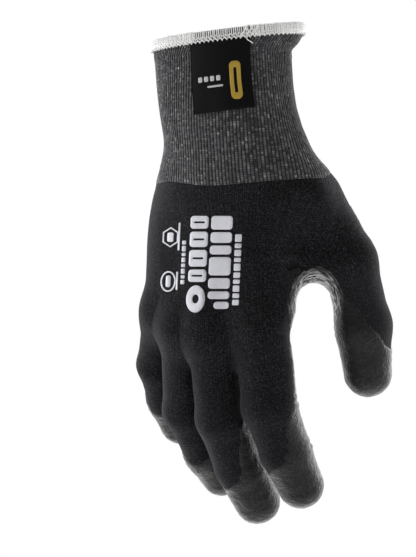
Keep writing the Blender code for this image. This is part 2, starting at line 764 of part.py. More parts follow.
def build_label():
    """Label attached along its top edge under the hem, following the cuff."""
    centre_angle = radians(LABEL_ANGLE)
    angles = np.linspace(centre_angle - 0.9, centre_angle + 0.9, 181)
    rays = in_rim_plane(np.stack([np.sin(angles), -np.cos(angles), np.zeros_like(angles)], 1))
    rows = []
    for r in range(LABEL_ROWS + 1):
        # walk round the section at this height and place the columns by arc length
        down = LABEL_DROP + LABEL_H * r / LABEL_ROWS
        centres = np.repeat((RIM_POINT - RIM_NORMAL * down)[None], len(angles), 0)
        centres[:, 0] += (section_at(centres[:, 2])[0] - RIM_X) * LABEL_FOLLOW
        outline = centres + radius(hand_field, centres, rays)[:, None] * rays
        steps = np.linalg.norm(outline[1:] - outline[:-1], axis=1)
        arc = np.concatenate([[0], np.cumsum(steps)])
        arc -= np.interp(centre_angle, angles, arc)
        across = (-LABEL_W / 2 + LABEL_W * np.arange(LABEL_COLUMNS + 1) / LABEL_COLUMNS
                  + LABEL_SHIFT - LABEL_LEAN * down)
        rows.append(np.stack([np.interp(across, arc, outline[:, i]) for i in range(3)], 1))
    rows = np.array(rows)
    out = normals(hand_field, rows.reshape(-1, 3)).reshape(rows.shape)
    rows = rows + out * LABEL_GAP
    # the last column is not joined to the first
    add_piece('label_folded', ring_mesh(rows, keep=lambda r, c: c < LABEL_COLUMNS),
              'label', 'label', LABEL_T)

    # the hinge line is outside the cuff
    point = rows[0].mean(0) + out[0, LABEL_COLUMNS // 2] * LABEL_HINGE_OUT
    hinge = Hinge(point, unit(rows[0, -1] - rows[0, 0]), -RIM_NORMAL, -RIM_NORMAL, LABEL_FLAP)
    # only the axis is reversed, so that a positive turn lifts the label off the cuff
    hinge.axis = -hinge.axis
    HINGES['label'] = hinge


# ------------------------------------------------------------ hand
def build_hand():
    """Palm, thumb root and knuckle band, cut from one surface."""
    verts, quads = surface_net(hand_field, GRID_LOW, GRID_HIGH, GRID_CELL)
    verts = settle(hand_field, verts, 3)
    tris = triangles(verts, quads)

    def cut_hand(*sides):
        mesh = verts, tris
        for side in sides:
            mesh = trim(*mesh, side, hand_field)
        return mesh

    def add_part(name, body, mesh, grip):
        add_liner(name, mesh, body)
        add_coating(name, trim(*mesh, grip), body, hand_field)

    palm = cut_hand(lambda points: -above_cuff_line(points) - SEAM / 2,
                    HINGES['knuckles'].near, palm_side)
    add_part('palm', 'palm', palm, palm_grip)
    for name, window in PRINTS.items():
        add_piece('back_print_' + name, trim(*palm, print_window(*window)),
                  'print', 'palm', FILM_T, hand_field)
    root = cut_hand(thumb_side, HINGES['thumb_middle'].near)
    add_part('thumb_root', 'thumb_root', root, thumb_root_grip)
    band = cut_hand(HINGES['knuckles'].far, above_roots)
    add_part('knuckle', 'knuckles', band, knuckle_grip)


# ------------------------------------------------------------ digits
def dipped(columns=GRIP_COLS, full_from=BANDS):
    """Cells under the coating: the pad columns, and every cell from row full_from."""
    return lambda r, c: r >= full_from or c < columns or c >= SIDES - columns


def add_segment(name, body, field, rings, tip, keep):
    add_liner(name, ring_mesh(rings, tip), body)
    add_coating(name, ring_mesh(rings, tip, keep), body, field)


def build_finger_base(name, field):
    hinge = HINGES[name + '_middle']
    rings, _ = tube(field, on_axis(name, BASE_START_Z), JOINTS[name][1], hinge.inner,
                    lambda points: -above_roots(points) - BASE_CLEARANCE, hinge.near,
                    SIDES, BANDS)
    add_segment(name + '_base', 'knuckles', field, rings, None, dipped(BASE_GRIP_COLS))


def build_outer_segments(name, field):
    """Middle segment and domed tip of a finger or the thumb."""
    middle, tip = name + '_middle', name + '_tip'
    first, last = HINGES[middle], HINGES[tip]
    joints = JOINTS[name]
    rings, _ = tube(field, joints[1], joints[2], first.inner, first.far, last.near, SIDES, BANDS)
    add_segment(middle, middle, field, rings, None, dipped())
    rings, end = tube(field, joints[2], joints[3], last.inner, last.far, None, SIDES, BANDS)
    add_segment(tip, tip, field, rings, end, dipped(full_from=1))


# ------------------------------------------------------------ materials
# key: base colour, roughness
COLOURS = {
    'rib': ((0.085, 0.085, 0.088), 0.9), 'knit': ((0.012, 0.012, 0.016), 0.85),
    'coating': ((0.022, 0.022, 0.024), 0.38), 'thread': ((0.80, 0.80, 0.78), 0.8),
    'elastic': ((0.62, 0.62, 0.60), 0.7), 'label': ((0.010, 0.010, 0.011), 0.5),
    'print': ((0.55, 0.55, 0.60), 0.5)}


def make_material(name, key):
    material = bpy.data.materials.new(name)
    material.use_nodes = True
    shader = material.node_tree.nodes['Principled BSDF']
    colour, roughness = COLOURS[key]
    shader.inputs['Base Color'].default_value = (*colour, 1.0)
    shader.inputs['Roughness'].default_value = roughness
    shader.inputs['Metallic'].default_value = 0.0
    return material


# ------------------------------------------------------------ placement
def thickened(verts, faces, thick):
    """Vertices moved out by the wall, along angle-weighted normals."""
    total = np.zeros_like(verts)
    for face in faces:
        ring = verts[list(face)]
        for i in range(len(face)):
            following, previous = ring[(i + 1) % len(face)] - ring[i], ring[i - 1] - ring[i]
            normal = np.cross(following, previous)
            size = np.linalg.norm(normal)
            if size > 1e-12:
                total[face[i]] += normal / size * np.arctan2(size, following @ previous)
    return verts + thick * total / np.maximum(np.linalg.norm(total, axis=1), 1e-12)[:, None]


def origin_shift():
    """Offset that centres the footprint and puts the lowest point at zero.

    Outer shells are measured with their thickness on."""
    clouds = []
    for _, verts, faces, thick, _, _ in BUILT:
        clouds.append(verts)
        if thick > 0:
            clouds.append(thickened(verts, faces, thick))
    points = np.concatenate(clouds)
    low, high = points.min(0), points.max(0)
    return np.array((-(low[0] + high[0]) / 2, -(low[1] + high[1]) / 2, -low[2]))


def make_empties(shift):
    """An empty on every hinge, x along the axis; returns empties and world frames."""
    empties, worlds = {}, {'cuff': Matrix.Identity(4)}
    for body, carrier in PARENTS.items():
        hinge = HINGES[body]
        columns = (hinge.axis, hinge.inner, np.cross(hinge.axis, hinge.inner),
                   (hinge.point + shift) * MM)
        world = Matrix(np.column_stack(columns).tolist() + [[0.0, 0.0, 0.0, 1.0]])
        empty = bpy.data.objects.new('hinge_' + body, None)
        empty.empty_display_size = 0.01
        bpy.context.scene.collection.objects.link(empty)
        empty.parent = empties.get(carrier)
        empty.matrix_basis = worlds[carrier].inverted() @ world
        empty['low'], empty['high'] = hinge.limits
        empties[body], worlds[body] = empty, world
    return empties, worlds


def make_object(name, verts, faces, thick, material_key, parent, world, shift):
    to_local = world.inverted()
    mesh = bpy.data.meshes.new(name)
    mesh.from_pydata([tuple(to_local @ Vector((v + shift) * MM)) for v in verts], [], faces)
    mesh.update()
    mesh.shade_smooth()
    mesh.set_sharp_from_angle(angle=radians(50))
    mesh.materials.append(make_material('mat_' + name, material_key))
    ob = bpy.data.objects.new(name, mesh)
    bpy.context.scene.collection.objects.link(ob)
    ob.parent = parent
    if thick:
        wall = ob.modifiers.new('Wall', 'SOLIDIFY')
        wall.thickness = abs(thick) * MM
        wall.offset = 1.0 if thick > 0 else -1.0
        wall.use_even_offset = False
        wall.use_rim = True


# ------------------------------------------------------------ build
build_hem(build_cuff())
build_yarn()
build_label()
build_hand()
for finger in FINGERS:
    flattened = finger_field(finger)
    build_finger_base(finger, flattened)
    build_outer_segments(finger, flattened)
build_outer_segments('thumb', thumb_field)

glove_shift = origin_shift()
hinge_empties, body_worlds = make_empties(glove_shift)
for *shape, body_name in BUILT:
    make_object(*shape, hinge_empties.get(body_name), body_worlds[body_name], glove_shift)
bpy.context.view_layer.update()
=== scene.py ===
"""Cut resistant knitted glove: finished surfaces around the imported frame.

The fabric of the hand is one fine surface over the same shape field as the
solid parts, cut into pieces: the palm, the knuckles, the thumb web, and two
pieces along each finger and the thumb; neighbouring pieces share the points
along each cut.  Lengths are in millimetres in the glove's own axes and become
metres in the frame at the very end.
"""
import json
import bpy
import bmesh
import numpy as np
from math import radians, sin, cos, pi, tan
from mathutils import Matrix, Vector
from mathutils.bvhtree import BVHTree

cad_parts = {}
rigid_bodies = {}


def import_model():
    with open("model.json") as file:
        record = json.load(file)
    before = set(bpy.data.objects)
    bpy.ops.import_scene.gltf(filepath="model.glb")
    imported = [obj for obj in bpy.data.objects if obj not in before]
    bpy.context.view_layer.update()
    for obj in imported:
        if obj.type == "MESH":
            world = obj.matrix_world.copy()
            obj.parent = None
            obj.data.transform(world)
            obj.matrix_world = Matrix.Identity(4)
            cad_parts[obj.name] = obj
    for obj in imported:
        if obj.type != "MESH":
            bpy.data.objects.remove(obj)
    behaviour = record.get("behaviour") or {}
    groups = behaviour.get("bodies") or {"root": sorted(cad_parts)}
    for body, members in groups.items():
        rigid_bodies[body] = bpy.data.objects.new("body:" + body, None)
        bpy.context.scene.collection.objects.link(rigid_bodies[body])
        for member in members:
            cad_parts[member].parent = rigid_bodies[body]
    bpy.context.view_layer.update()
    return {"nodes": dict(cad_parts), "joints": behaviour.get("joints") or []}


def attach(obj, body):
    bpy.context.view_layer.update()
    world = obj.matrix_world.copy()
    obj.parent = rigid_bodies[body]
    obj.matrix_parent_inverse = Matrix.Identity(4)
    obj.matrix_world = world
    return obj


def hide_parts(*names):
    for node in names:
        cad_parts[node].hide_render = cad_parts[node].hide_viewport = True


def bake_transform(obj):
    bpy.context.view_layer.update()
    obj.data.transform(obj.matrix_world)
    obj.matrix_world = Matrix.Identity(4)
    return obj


for ob in list(bpy.data.objects):
    bpy.data.objects.remove(ob, do_unlink=True)
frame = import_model()
JOINTS = {j["name"]: j for j in frame["joints"]}

# ------------------------------------------------------------ shape numbers
FINGERS = {
    'index':  (((29.0, 1.0, -21.2), (27.6, 9.5, -59.6), (30.4, 20.0, -81.5), (33.2, 29.3, -97.4)), (13.6, 12.7, 11.7, 10.6)),
    'middle': (((4.8, -1.0, -24.1), (0.9, 11.5, -65.9), (1.6, 26.0, -89.1), (4.6, 37.0, -106.2)), (13.6, 12.4, 11.6, 10.6)),
    'ring':   (((-12.4, 2.0, -22.4), (-23.1, 18.5, -62.3), (-21.2, 34.0, -83.4), (-18.9, 43.0, -94.5)), (12.8, 11.5, 10.8, 9.9)),
    'little': (((-27.7, 8.0, -15.9), (-41.0, 22.0, -41.1), (-43.8, 34.0, -57.8), (-42.9, 43.0, -70.9)), (11.8, 10.6, 9.8, 9.0)),
}
METACARPAL = {'index': ((24.0, 0.5, 42.0), 13.5), 'middle': ((14.0, -1.0, 42.0), 14.0),
              'ring': ((2.0, 0.5, 42.0), 14.0), 'little': ((-9.0, 4.0, 40.0), 14.5)}
THUMB = (((44.9, 18.0, 35.3), (57.7, 30.0, 7.7), (62.3, 38.0, -22.3), (61.8, 43.0, -44.4)), (16.0, 14.0, 12.9, 11.0))
THUMB_WEB = ((31.0, 8.0, 8.0), (52.0, 26.0, 8.0), 9.8)
WEBS = (('index', 'middle', -37.0, 7.5), ('middle', 'ring', -36.0, 7.5), ('ring', 'little', -21.5, 7.5))
HYPOTHENAR = ((-18.5, 9.0, 18.0), (18.0, 14.0, 36.0))
SECTIONS = ((125.0, 8.2, 0.0, 34.6, 25.1), (112.0, 8.2, 0.0, 34.4, 24.9), (100.0, 8.4, 0.0, 34.0, 24.5),
            (90.0, 9.2, 0.0, 34.0, 24.5), (80.0, 10.8, 0.0, 34.2, 24.5), (70.0, 13.0, 0.5, 35.0, 24.5),
            (60.0, 15.8, 1.5, 36.8, 24.0), (50.0, 18.5, 3.0, 39.5, 23.0), (40.0, 19.5, 5.0, 41.5, 21.5),
            (25.0, 19.5, 6.0, 41.5, 19.5), (10.0, 18.0, 6.0, 40.0, 18.5))
CUFF_LINE = (46.8, 0.085)
RIM_Z, RIM_X, RIM_SLOPE_X, RIM_SLOPE_Y = 114.6, 8.3, 0.094, 0.058
FINGER_GAP = 1.0
CELL = 0.85            # spacing of the fabric mesh
WALL = 1.0             # knitted wall

SHIFT = np.array(JOINTS['index_middle_bend']['pos_m']) * 1000.0 - np.array(FINGERS['index'][0][1])


RIGHT = np.array((cos(radians(32)), sin(radians(32)), 0.0))
BACK = np.array((sin(radians(32)), -cos(radians(32)), 0.0))


def cuff_line(P):
    """Height of the lower end of the rib: it dips over the back of the hand."""
    b = np.clip(((P @ BACK) - 4.0) / 27.0, 0, 1)
    return CUFF_LINE[0] + CUFF_LINE[1] * P[..., 0] + 0.3 - 5.3 * b * b * (3 - 2 * b)


# ------------------------------------------------------------ shape field
def unit(v):
    v = np.asarray(v, float)
    return v / np.linalg.norm(v)


def cone(P, a, b, ra, rb):
    a = np.asarray(a, float)
    d = np.asarray(b, float) - a
    t = np.clip(((P - a) @ d) / (d @ d), 0, 1)
    q = P - a - t[:, None] * d
    return np.sqrt((q * q).sum(1)) - (ra + (rb - ra) * t)


def blend_min(a, b, k):
    h = np.clip(0.5 + 0.5 * (b - a) / k, 0, 1)
    return b * (1 - h) + a * h - k * h * (1 - h)


def blend_max(a, b, k):
    return -blend_min(-a, -b, k)


def ellipsoid(P, c, r):
    r = np.asarray(r, float)
    q = (P - np.asarray(c, float)) / r
    l = np.sqrt((q * q).sum(1))
    g = np.sqrt((q * q / (r * r)).sum(1))
    return l * (l - 1) / np.maximum(g, 1e-9)


def chain(P, pts, rad, k):
    d = cone(P, pts[0], pts[1], rad[0], rad[1])
    d = blend_min(d, cone(P, pts[1], pts[2], rad[1], rad[2]), k)
    return blend_min(d, cone(P, pts[2], pts[3], rad[2], rad[3]), k)


def section_at(z):
    T = np.array(SECTIONS)[::-1]
    return [np.interp(z, T[:, 0], T[:, i]) for i in (1, 2, 3, 4)]


def sleeve(P):
    z = P[:, 2]
    cx, cy, a, b = section_at(z)
    qx, qy = (P[:, 0] - cx) / a, (P[:, 1] - cy) / b
    l = np.sqrt(qx * qx + qy * qy)
    g = np.sqrt(qx * qx / (a * a) + qy * qy / (b * b))
    f = np.where(l < 1e-6, -b, l * (l - 1) / np.maximum(g, 1e-9))
    return -blend_min(-f, -(26.0 - z), 18.0)


def on_axis(name, z):
    a, b = (np.array(FINGERS[name][0][i]) for i in (0, 1))
    return a + (b - a) * ((z - a[2]) / (b[2] - a[2]))


NAMES = list(FINGERS)


def hand_field(P, flat=True):
    """The whole hand, with each finger flattened against its neighbours."""
    # the arch between thumb and index finger leans towards the thumb at its top
    x, z = P @ RIGHT - 50.7, P[:, 2] + 12.9
    rise = np.clip((z + 16.0) / 22.0, 0, 1)
    lean = 3.3 * rise * rise * (3 - 2 * rise) * np.exp(-(x / 16.0) ** 2 - (np.maximum(z - 6.0, 0) / 13.0) ** 2)
    lean -= 2.8 * np.exp(-((x + 11.0) / 7.0) ** 2 - ((z + 11.0) / 9.0) ** 2)
    P = P - lean[:, None] * RIGHT
    palm = None
    for n in NAMES:
        base, r = METACARPAL[n]
        c = cone(P, base, FINGERS[n][0][0], r, FINGERS[n][1][0])
        palm = c if palm is None else blend_min(palm, c, 12.0)
    palm = blend_min(palm, ellipsoid(P, *HYPOTHENAR), 10.0)
    f = blend_min(sleeve(P), palm, 16.0)
    own = [chain(P, *FINGERS[n], 3.0) for n in NAMES]
    roots = None
    for i in range(4):
        d = own[i]
        if flat:
            for j in (i - 1, i + 1):
                if 0 <= j < 4:
                    d = blend_max(d, (own[i] - own[j]) / 2 + FINGER_GAP, 1.6)
        roots = d if roots is None else np.minimum(roots, d)
    for a, b, z, r in WEBS:
        roots = blend_min(roots, cone(P, on_axis(a, z), on_axis(b, z), r, r), 3.0)
    f = blend_min(f, roots, 8.0)
    th = blend_min(chain(P, THUMB[0], THUMB[1], 4.0),
                   cone(P, THUMB_WEB[0], THUMB_WEB[1], THUMB_WEB[2], THUMB_WEB[2]), 6.0)
    return blend_min(f, th, 12.0)


def gradient(field, V, e=0.05):
    g = np.empty_like(V)
    for i in range(3):
        d = np.zeros(3)
        d[i] = e
        g[:, i] = (field(V + d) - field(V - d)) / (2 * e)
    return g


def radius(field, C, E, top=60.0, steps=22):
    lo, hi = np.zeros(len(C)), np.full(len(C), top)
    for _ in range(steps):
        m = (lo + hi) / 2
        inside = field(C + m[:, None] * E) < 0
        lo, hi = np.where(inside, m, lo), np.where(inside, hi, m)
    return (lo + hi) / 2


# ------------------------------------------------------------ noise
def lattice(i, j, k, seed):
    n = (i * 374761393 + j * 668265263 + k * 1440662683 + seed * 1274126177) & 0xffffffff
    n = ((n ^ (n >> 13)) * 1274126177) & 0xffffffff
    n = n ^ (n >> 16)
    return (n & 0xffff) / 32767.5 - 1.0


def noise(P, scale, seed=0):
    """Smooth value noise in -1..1; scale is the lattice pitch."""
    q = np.asarray(P, float) / scale
    b = np.floor(q).astype(np.int64)
    f = q - b
    f = f * f * (3 - 2 * f)
    out = np.zeros(len(q))
    for i in (0, 1):
        for j in (0, 1):
            for k in (0, 1):
                w = (f[:, 0] if i else 1 - f[:, 0]) * (f[:, 1] if j else 1 - f[:, 1]) * (f[:, 2] if k else 1 - f[:, 2])
                out += w * lattice(b[:, 0] + i, b[:, 1] + j, b[:, 2] + k, seed)
    return out


def step(x):
    x = np.clip(x, 0, 1)
    return x * x * (3 - 2 * x)


# ------------------------------------------------------------ hinges
def joint_of(name):
    j = JOINTS[name]
    return np.array(j['pos_m']) * 1000.0 - SHIFT, unit(j['axis'])


class Bone:
    """One bending zone: pivot, axis, direction along the limb, half length."""

    def __init__(self, joint, before, after, half):
        self.p, self.a = joint_of(joint)
        self.b = unit(unit(before) + unit(after))
        self.c = np.cross(self.a, self.b)
        self.half = half

    def along(self, X):
        return (X - self.p) @ self.b


ZONES = {}
for n in NAMES:
    p = [np.array(q) for q in FINGERS[n][0]]
    half = 8.8 if n != 'little' else 8.2
    ZONES[n] = (Bone(n + '_middle_bend', p[1] - p[0], p[2] - p[1], half), Bone(n + '_end_bend', p[2] - p[1], p[3] - p[2], half))
t = [np.array(q) for q in THUMB[0]]
ZONES['thumb'] = (Bone('thumb_base_bend', t[2] - t[1], t[2] - t[1], 9.0), Bone('thumb_end_bend', t[2] - t[1], t[3] - t[2], 9.0))
KNUCKLE_Z = (-4.0, -33.0)
SWING_P, _ = joint_of('thumb_swing')
SWING_N = unit((0.66, 0.75, 0.0))


def swing_weight(X):
    """0 on the palm and under the cuff, 1 where the thumb leaves the hand."""
    a = step(((X - SWING_P) @ SWING_N + 2.0) / 11.0)
    return a * step((38.0 - X[:, 2]) / 26.0)


def limb_distance(X):
    D = [chain(X, *FINGERS[n], 3.0) for n in NAMES] + [chain(X, THUMB[0], THUMB[1], 4.0)]
    return np.stack(D, 1)


# ------------------------------------------------------------ the fine surface
def sparse_net(field, lo, hi, h, block=6):
    """Surface nets, with the field evaluated only near the surface."""
    lo = np.asarray(lo, float)
    nb = np.ceil((np.asarray(hi) - lo) / (h * block)).astype(int)
    n = nb * block + 1
    ctr = [lo[i] + h * block * (np.arange(nb[i]) + 0.5) for i in range(3)]
    C = np.stack(np.meshgrid(*ctr, indexing='ij'), -1).reshape(-1, 3)
    fc = field(C).reshape(nb)
    reach = h * block * 0.5 * 1.7321 * 1.35 + 1.0
    G = np.repeat(np.repeat(np.repeat(fc, block, 0), block, 1), block, 2)
    G = np.pad(G, ((0, 1), (0, 1), (0, 1)), mode='edge')
    need = np.zeros(n, bool)
    for i, j, k in np.argwhere(np.abs(fc) < reach):
        need[i * block:(i + 1) * block + 1, j * block:(j + 1) * block + 1, k * block:(k + 1) * block + 1] = True
    idx = np.argwhere(need)
    val = np.concatenate([field(lo + h * q) for q in np.array_split(idx, 12)])
    G[need] = val
    S = G < 0
    c = np.zeros(n - 1, np.int8)
    corners = [(i, j, k) for i in (0, 1) for j in (0, 1) for k in (0, 1)]
    for i, j, k in corners:
        c += S[i:n[0] - 1 + i, j:n[1] - 1 + j, k:n[2] - 1 + k]
    act = (c > 0) & (c < 8)
    cells = np.argwhere(act)
    num = -np.ones(act.shape, int)
    num[act] = np.arange(len(cells))
    acc = np.zeros((len(cells), 3))
    cnt = np.zeros(len(cells))
    for a in corners:
        for axis in range(3):
            if a[axis] == 0:
                b = list(a)
                b[axis] = 1
                ga = G[cells[:, 0] + a[0], cells[:, 1] + a[1], cells[:, 2] + a[2]]
                gb = G[cells[:, 0] + b[0], cells[:, 1] + b[1], cells[:, 2] + b[2]]
                m = (ga < 0) != (gb < 0)
                w = ga[m] / (ga[m] - gb[m])
                acc[m] += np.array(a, float) + w[:, None] * (np.array(b) - np.array(a))
                cnt[m] += 1
    V = lo + h * (cells + acc / cnt[:, None])
    quads = []
    for axis in range(3):
        u, v = (axis + 1) % 3, (axis + 2) % 3
        s0, s1 = [slice(None)] * 3, [slice(None)] * 3
        s0[axis], s1[axis] = slice(0, n[axis] - 1), slice(1, n[axis])
        e = np.argwhere(S[tuple(s0)] != S[tuple(s1)])
        e = e[(e[:, u] > 0) & (e[:, v] > 0) & (e[:, u] < n[u] - 1) & (e[:, v] < n[v] - 1)]
        flip = S[e[:, 0], e[:, 1], e[:, 2]]

        def cell(du, dv):
            q = e.copy()
            q[:, u] += du
            q[:, v] += dv
            return num[q[:, 0], q[:, 1], q[:, 2]]
        q = np.stack([cell(-1, -1), cell(0, -1), cell(0, 0), cell(-1, 0)], 1)
        q[~flip] = q[~flip][:, ::-1]
        quads.append(q)
    return V, np.concatenate(quads)


def vertex_normals(V, Q):
    P = V[Q]
    fn = np.cross(P[:, 2] - P[:, 0], P[:, 3] - P[:, 1])
    N = np.zeros_like(V)
    for k in range(4):
        for i in range(3):
            N[:, i] += np.bincount(Q[:, k], fn[:, i], len(V))
    return N / np.maximum(np.linalg.norm(N, axis=1), 1e-9)[:, None]


def relax(V, Q, rounds):
    """Even out the grid: each point moves towards the mean of its neighbours."""
    E = np.concatenate([Q[:, [0, 1]], Q[:, [1, 2]], Q[:, [2, 3]], Q[:, [3, 0]]])
    n = np.bincount(E.ravel(), minlength=len(V))
    for _ in range(rounds):
        M = np.stack([np.bincount(E[:, 0], V[E[:, 1], i], len(V)) + np.bincount(E[:, 1], V[E[:, 0], i], len(V))
                      for i in range(3)], 1) / np.maximum(n, 1)[:, None]
        V = V + 0.5 * (M - V)
    return V


def project(field, V, rounds=3):
    for _ in range(rounds):
        g = gradient(field, V)
        V = V - g * (field(V) / np.maximum((g * g).sum(1), 1e-6))[:, None] * 0.9
    return V


HV, HQ = sparse_net(hand_field, (-62.0, -34.0, -126.0), (86.0, 66.0, 62.0), CELL)
HV = relax(HV, HQ, 2)
HV = project(hand_field, HV, 3)
# nothing above the tuck under the cuff is needed
cz = HV[HQ].mean(1)
HQ = HQ[cz[:, 2] < cuff_line(cz) + 6.0]
used = np.unique(HQ)
m = -np.ones(len(HV), int)
m[used] = np.arange(len(used))
HV, HQ = HV[used], m[HQ]
HN = vertex_normals(HV, HQ)
DL = limb_distance(HV)

# ------------------------------------------------------------ where the coating lies


def seen_at(X):
    """Across and down, in thousandths of the view, from the side the glove is shown."""
    k = 3621.0 / (1700.0 - X @ BACK)
    return 208.0 + k * (X @ RIGHT), 278.5 - k * X[:, 2]


def coat_depth(X, D):
    """Millimetres inside the edge of the dipped coating; below 0 is bare knit."""
    x, y, z = X.T
    s = X @ RIGHT
    U_, V_ = seen_at(X)
    edge = 0.9 * noise(X, 7.0, 5) + 0.55 * noise(X, 2.6, 6) + 0.55 * noise(X, 1.7, 8)
    # palm: grip side only, ending short of the cuff
    side = np.interp(x, (-40, -25, 0, 25, 42), (13.0, 9.5, 8.0, 8.5, 10.0))
    # round the thumb root the edge follows the thumb instead of the palm
    a, b = (np.array(THUMB[0][i]) for i in (0, 1))
    w = np.clip(((X - a) @ (b - a)) / ((b - a) @ (b - a)), 0, 1)
    thenar = (X - a - w[:, None] * (b - a)) @ unit((-0.45, 0.89, 0.0)) - 1.0
    w = step((x - 34.0) / 12.0)
    palm = (y - side) * (1 - w) + thenar * w
    palm = np.minimum(palm, 34.5 - z + 1.2 * np.sin(x * 0.16))
    # thumb web: an arched band seen from the back
    ring = (1 - np.sqrt(((s - 50.7) / 13.0) ** 2 + ((z + 12.9) / 18.6) ** 2)) * 13.0
    ring = np.where(z > -34, ring, -9.0)
    out = np.maximum(palm, ring)
    owner = D.argmin(1)
    for i, n in enumerate(NAMES + ['thumb']):
        pts, rad = (FINGERS[n] if n != 'thumb' else THUMB)
        p = [np.array(q) for q in pts]
        mid, end = ZONES[n]
        here = owner == i
        if n != 'thumb':
            here &= z < p[0][2] + 6
        Y = X[here]
        if not len(Y):
            continue
        best, off, lt = None, None, None
        tip = p[3] + unit(p[3] - p[2]) * rad[3]
        for k in range(3):
            d = p[k + 1] - p[k]
            w = np.clip(((Y - p[k]) @ d) / (d @ d), 0, 1)
            q = Y - p[k] - w[:, None] * d
            dist = np.linalg.norm(q, axis=1)
            c = mid.c if k < 2 else end.c
            if n == 'thumb':
                c = unit((-0.93, 0.22, 0.0))
            c = unit(c - (c @ unit(d)) * unit(d))
            left = np.linalg.norm(tip - p[k + 1]) if k < 2 else 0.0
            if k == 0:
                left = np.linalg.norm(tip - p[2]) + np.linalg.norm(p[2] - p[1])
            elif k == 1:
                left = np.linalg.norm(tip - p[2])
            else:
                left = np.linalg.norm(tip - p[3])
            length = left + (1 - w) * np.linalg.norm(d) - np.where(w >= 1, 0, 0)
            if k == 2:
                length = (tip - Y) @ unit(p[3] - p[2])
            h = q @ c
            if best is None:
                best, off, lt = dist, h, length
            else:
                m = dist < best
                best, off, lt = np.where(m, dist, best), np.where(m, h, off), np.where(m, length, lt)
        if n == 'thumb':
            level = np.interp(lt, (0, 22, 40, 60, 90), (-14.0, -8.5, -6.5, -5.0, -1.0))
            tipline = 22.5 - lt
        else:
            full = {'index': (-12.0, -6.5, -1.0, 4.5, 7.0), 'middle': (-12.0, -7.0, -4.5, -2.0, 3.0),
                    'ring': (-12.0, -7.0, -4.0, -1.5, 3.0), 'little': (-12.0, -6.0, -2.0, 1.0, 5.0)}[n]
            level = np.interp(lt, (0, 24, 38, 50, 85), full)
            tipline = {'index': 17.5, 'middle': 21.5, 'ring': 26.0, 'little': 22.0}[n] - lt
        f = blend_max(off - level, tipline, 9.0)
        if n == 'thumb':
            drop = (V_[here] - np.interp(U_[here], (318, 341, 356, 390, 404), (262, 291, 305, 350, 364))) * 0.33
            f = np.maximum(blend_max(off - 7.5, tipline, 6.0), np.maximum(drop, ring[here]))
            w = step((19.0 - Y[:, 2]) / 15.0) * step((3.5 - D[here, 4]) / 2.5)
            f = w * f + (1 - w) * out[here]
        else:
            w = step((p[0][2] + 6 - Y[:, 2]) / 22.0)
            f = w * f + (1 - w) * out[here]
            if n == 'index':
                f = np.maximum(f, ring[here])
                right = (U_[here] - np.interp(V_[here], (300, 330, 350, 380, 404, 429, 462, 472, 482), (287, 289, 290.5, 292.5, 294, 287, 286, 272, 240))) * 0.47
                f = np.maximum(f, np.where(V_[here] > 300, right, -9.0))
            if n == 'middle':
                right = (U_[here] - np.interp(V_[here], (400, 422, 440, 468, 480, 488, 496), (250, 241, 239, 242, 241, 230, 210))) * 0.47
                f = np.maximum(f, np.where(V_[here] > 398, right, -9.0))
        out[here] = f
    return out + edge


CD = coat_depth(HV, DL)

# ------------------------------------------------------------ relief of the fabric
ALONG = HV[:, 2]
lift = 0.10 * noise(HV, 9.0, 1) + 0.07 * noise(HV * np.array((1, 1, 0.35)), 3.2, 2)
# knuckles and tendons show softly through the back
back = step((-HN[:, 1] - 0.2) / 0.6)
for n in NAMES:
    k = np.array(FINGERS[n][0][0])
    d = np.linalg.norm((HV - k) * np.array((1.0, 0.0, 0.62)), axis=1)
    lift += back * 0.28 * np.exp(-(d / 7.5) ** 2)
    mid, end = ZONES[n]
    h = (HV - mid.p) @ mid.c
    ow = DL.argmin(1) == NAMES.index(n)
    a = mid.along(HV)
    lift += np.where(ow, 0.14 * np.exp(-(a / 5.0) ** 2) * step(-h / 6.0), 0)
grip = step((CD + 0.5) / 2.0)
# flexion creases on the grip side
owner = DL.argmin(1)
for i, n in enumerate(NAMES + ['thumb']):
    for z0, zone in enumerate(ZONES[n]):
        h = (HV - zone.p) @ zone.c
        on = (owner == i) & (HV[:, 2] < (12 if n == 'thumb' else -18))
        a = zone.along(HV) + 0.8 * noise(HV, 6.0, 20 + i)
        for off, dep in ((-3.4, 0.28), (0.2, 0.55), (3.4, 0.24)):
            lift -= np.where(on, dep * np.exp(-((a - off) / 0.95) ** 2) * step((h - 1.0) / 5.0), 0)
        lift += np.where(on, 0.22 * np.exp(-((a - 1.9) / 1.3) ** 2) * step((h - 1.0) / 5.0), 0)
palmward = step((HN[:, 1] - 0.15) / 0.5)
for pts in (((38, 2), (26, -8), (8, -12), (-12, -6), (-26, 0)), ((36, 6), (22, 2), (4, 4), (-14, 12), (-24, 18)),
            ((30, 12), (24, 20), (22, 30), (25, 40))):
    best = np.full(len(HV), 1e9)
    q = HV[:, [0, 2]] + 0.9 * np.stack([noise(HV, 8.0, 31), noise(HV, 8.0, 32)], 1)
    for a, b in zip(pts[:-1], pts[1:]):
        a, b = np.array(a, float), np.array(b, float)
        w = np.clip((q - a) @ (b - a) / ((b - a) @ (b - a)), 0, 1)
        best = np.minimum(best, np.linalg.norm(q - a - w[:, None] * (b - a), axis=1))
    lift -= palmward * 0.5 * np.exp(-(best / 1.25) ** 2) - palmward * 0.2 * np.exp(-((best - 2.6) / 1.2) ** 2)
# pull lines round the thumb web
sx, sz = HV @ RIGHT - 50.7, HV[:, 2] + 12.9
rr = np.sqrt((sx / 0.72) ** 2 + sz ** 2)
th = np.arctan2(sz, sx)
web = np.exp(-((rr - 18.0) / 6.0) ** 2) * step((sz + 4) / 12) * step((CD + 1.5) / 2.0)
W = np.stack([rr * 1.0, th * 5.0, (HV @ BACK) * 0.25], 1)
ridge = 1 - np.abs(noise(W, 1.9, 41)) * 2
lift += web * 0.42 * ridge
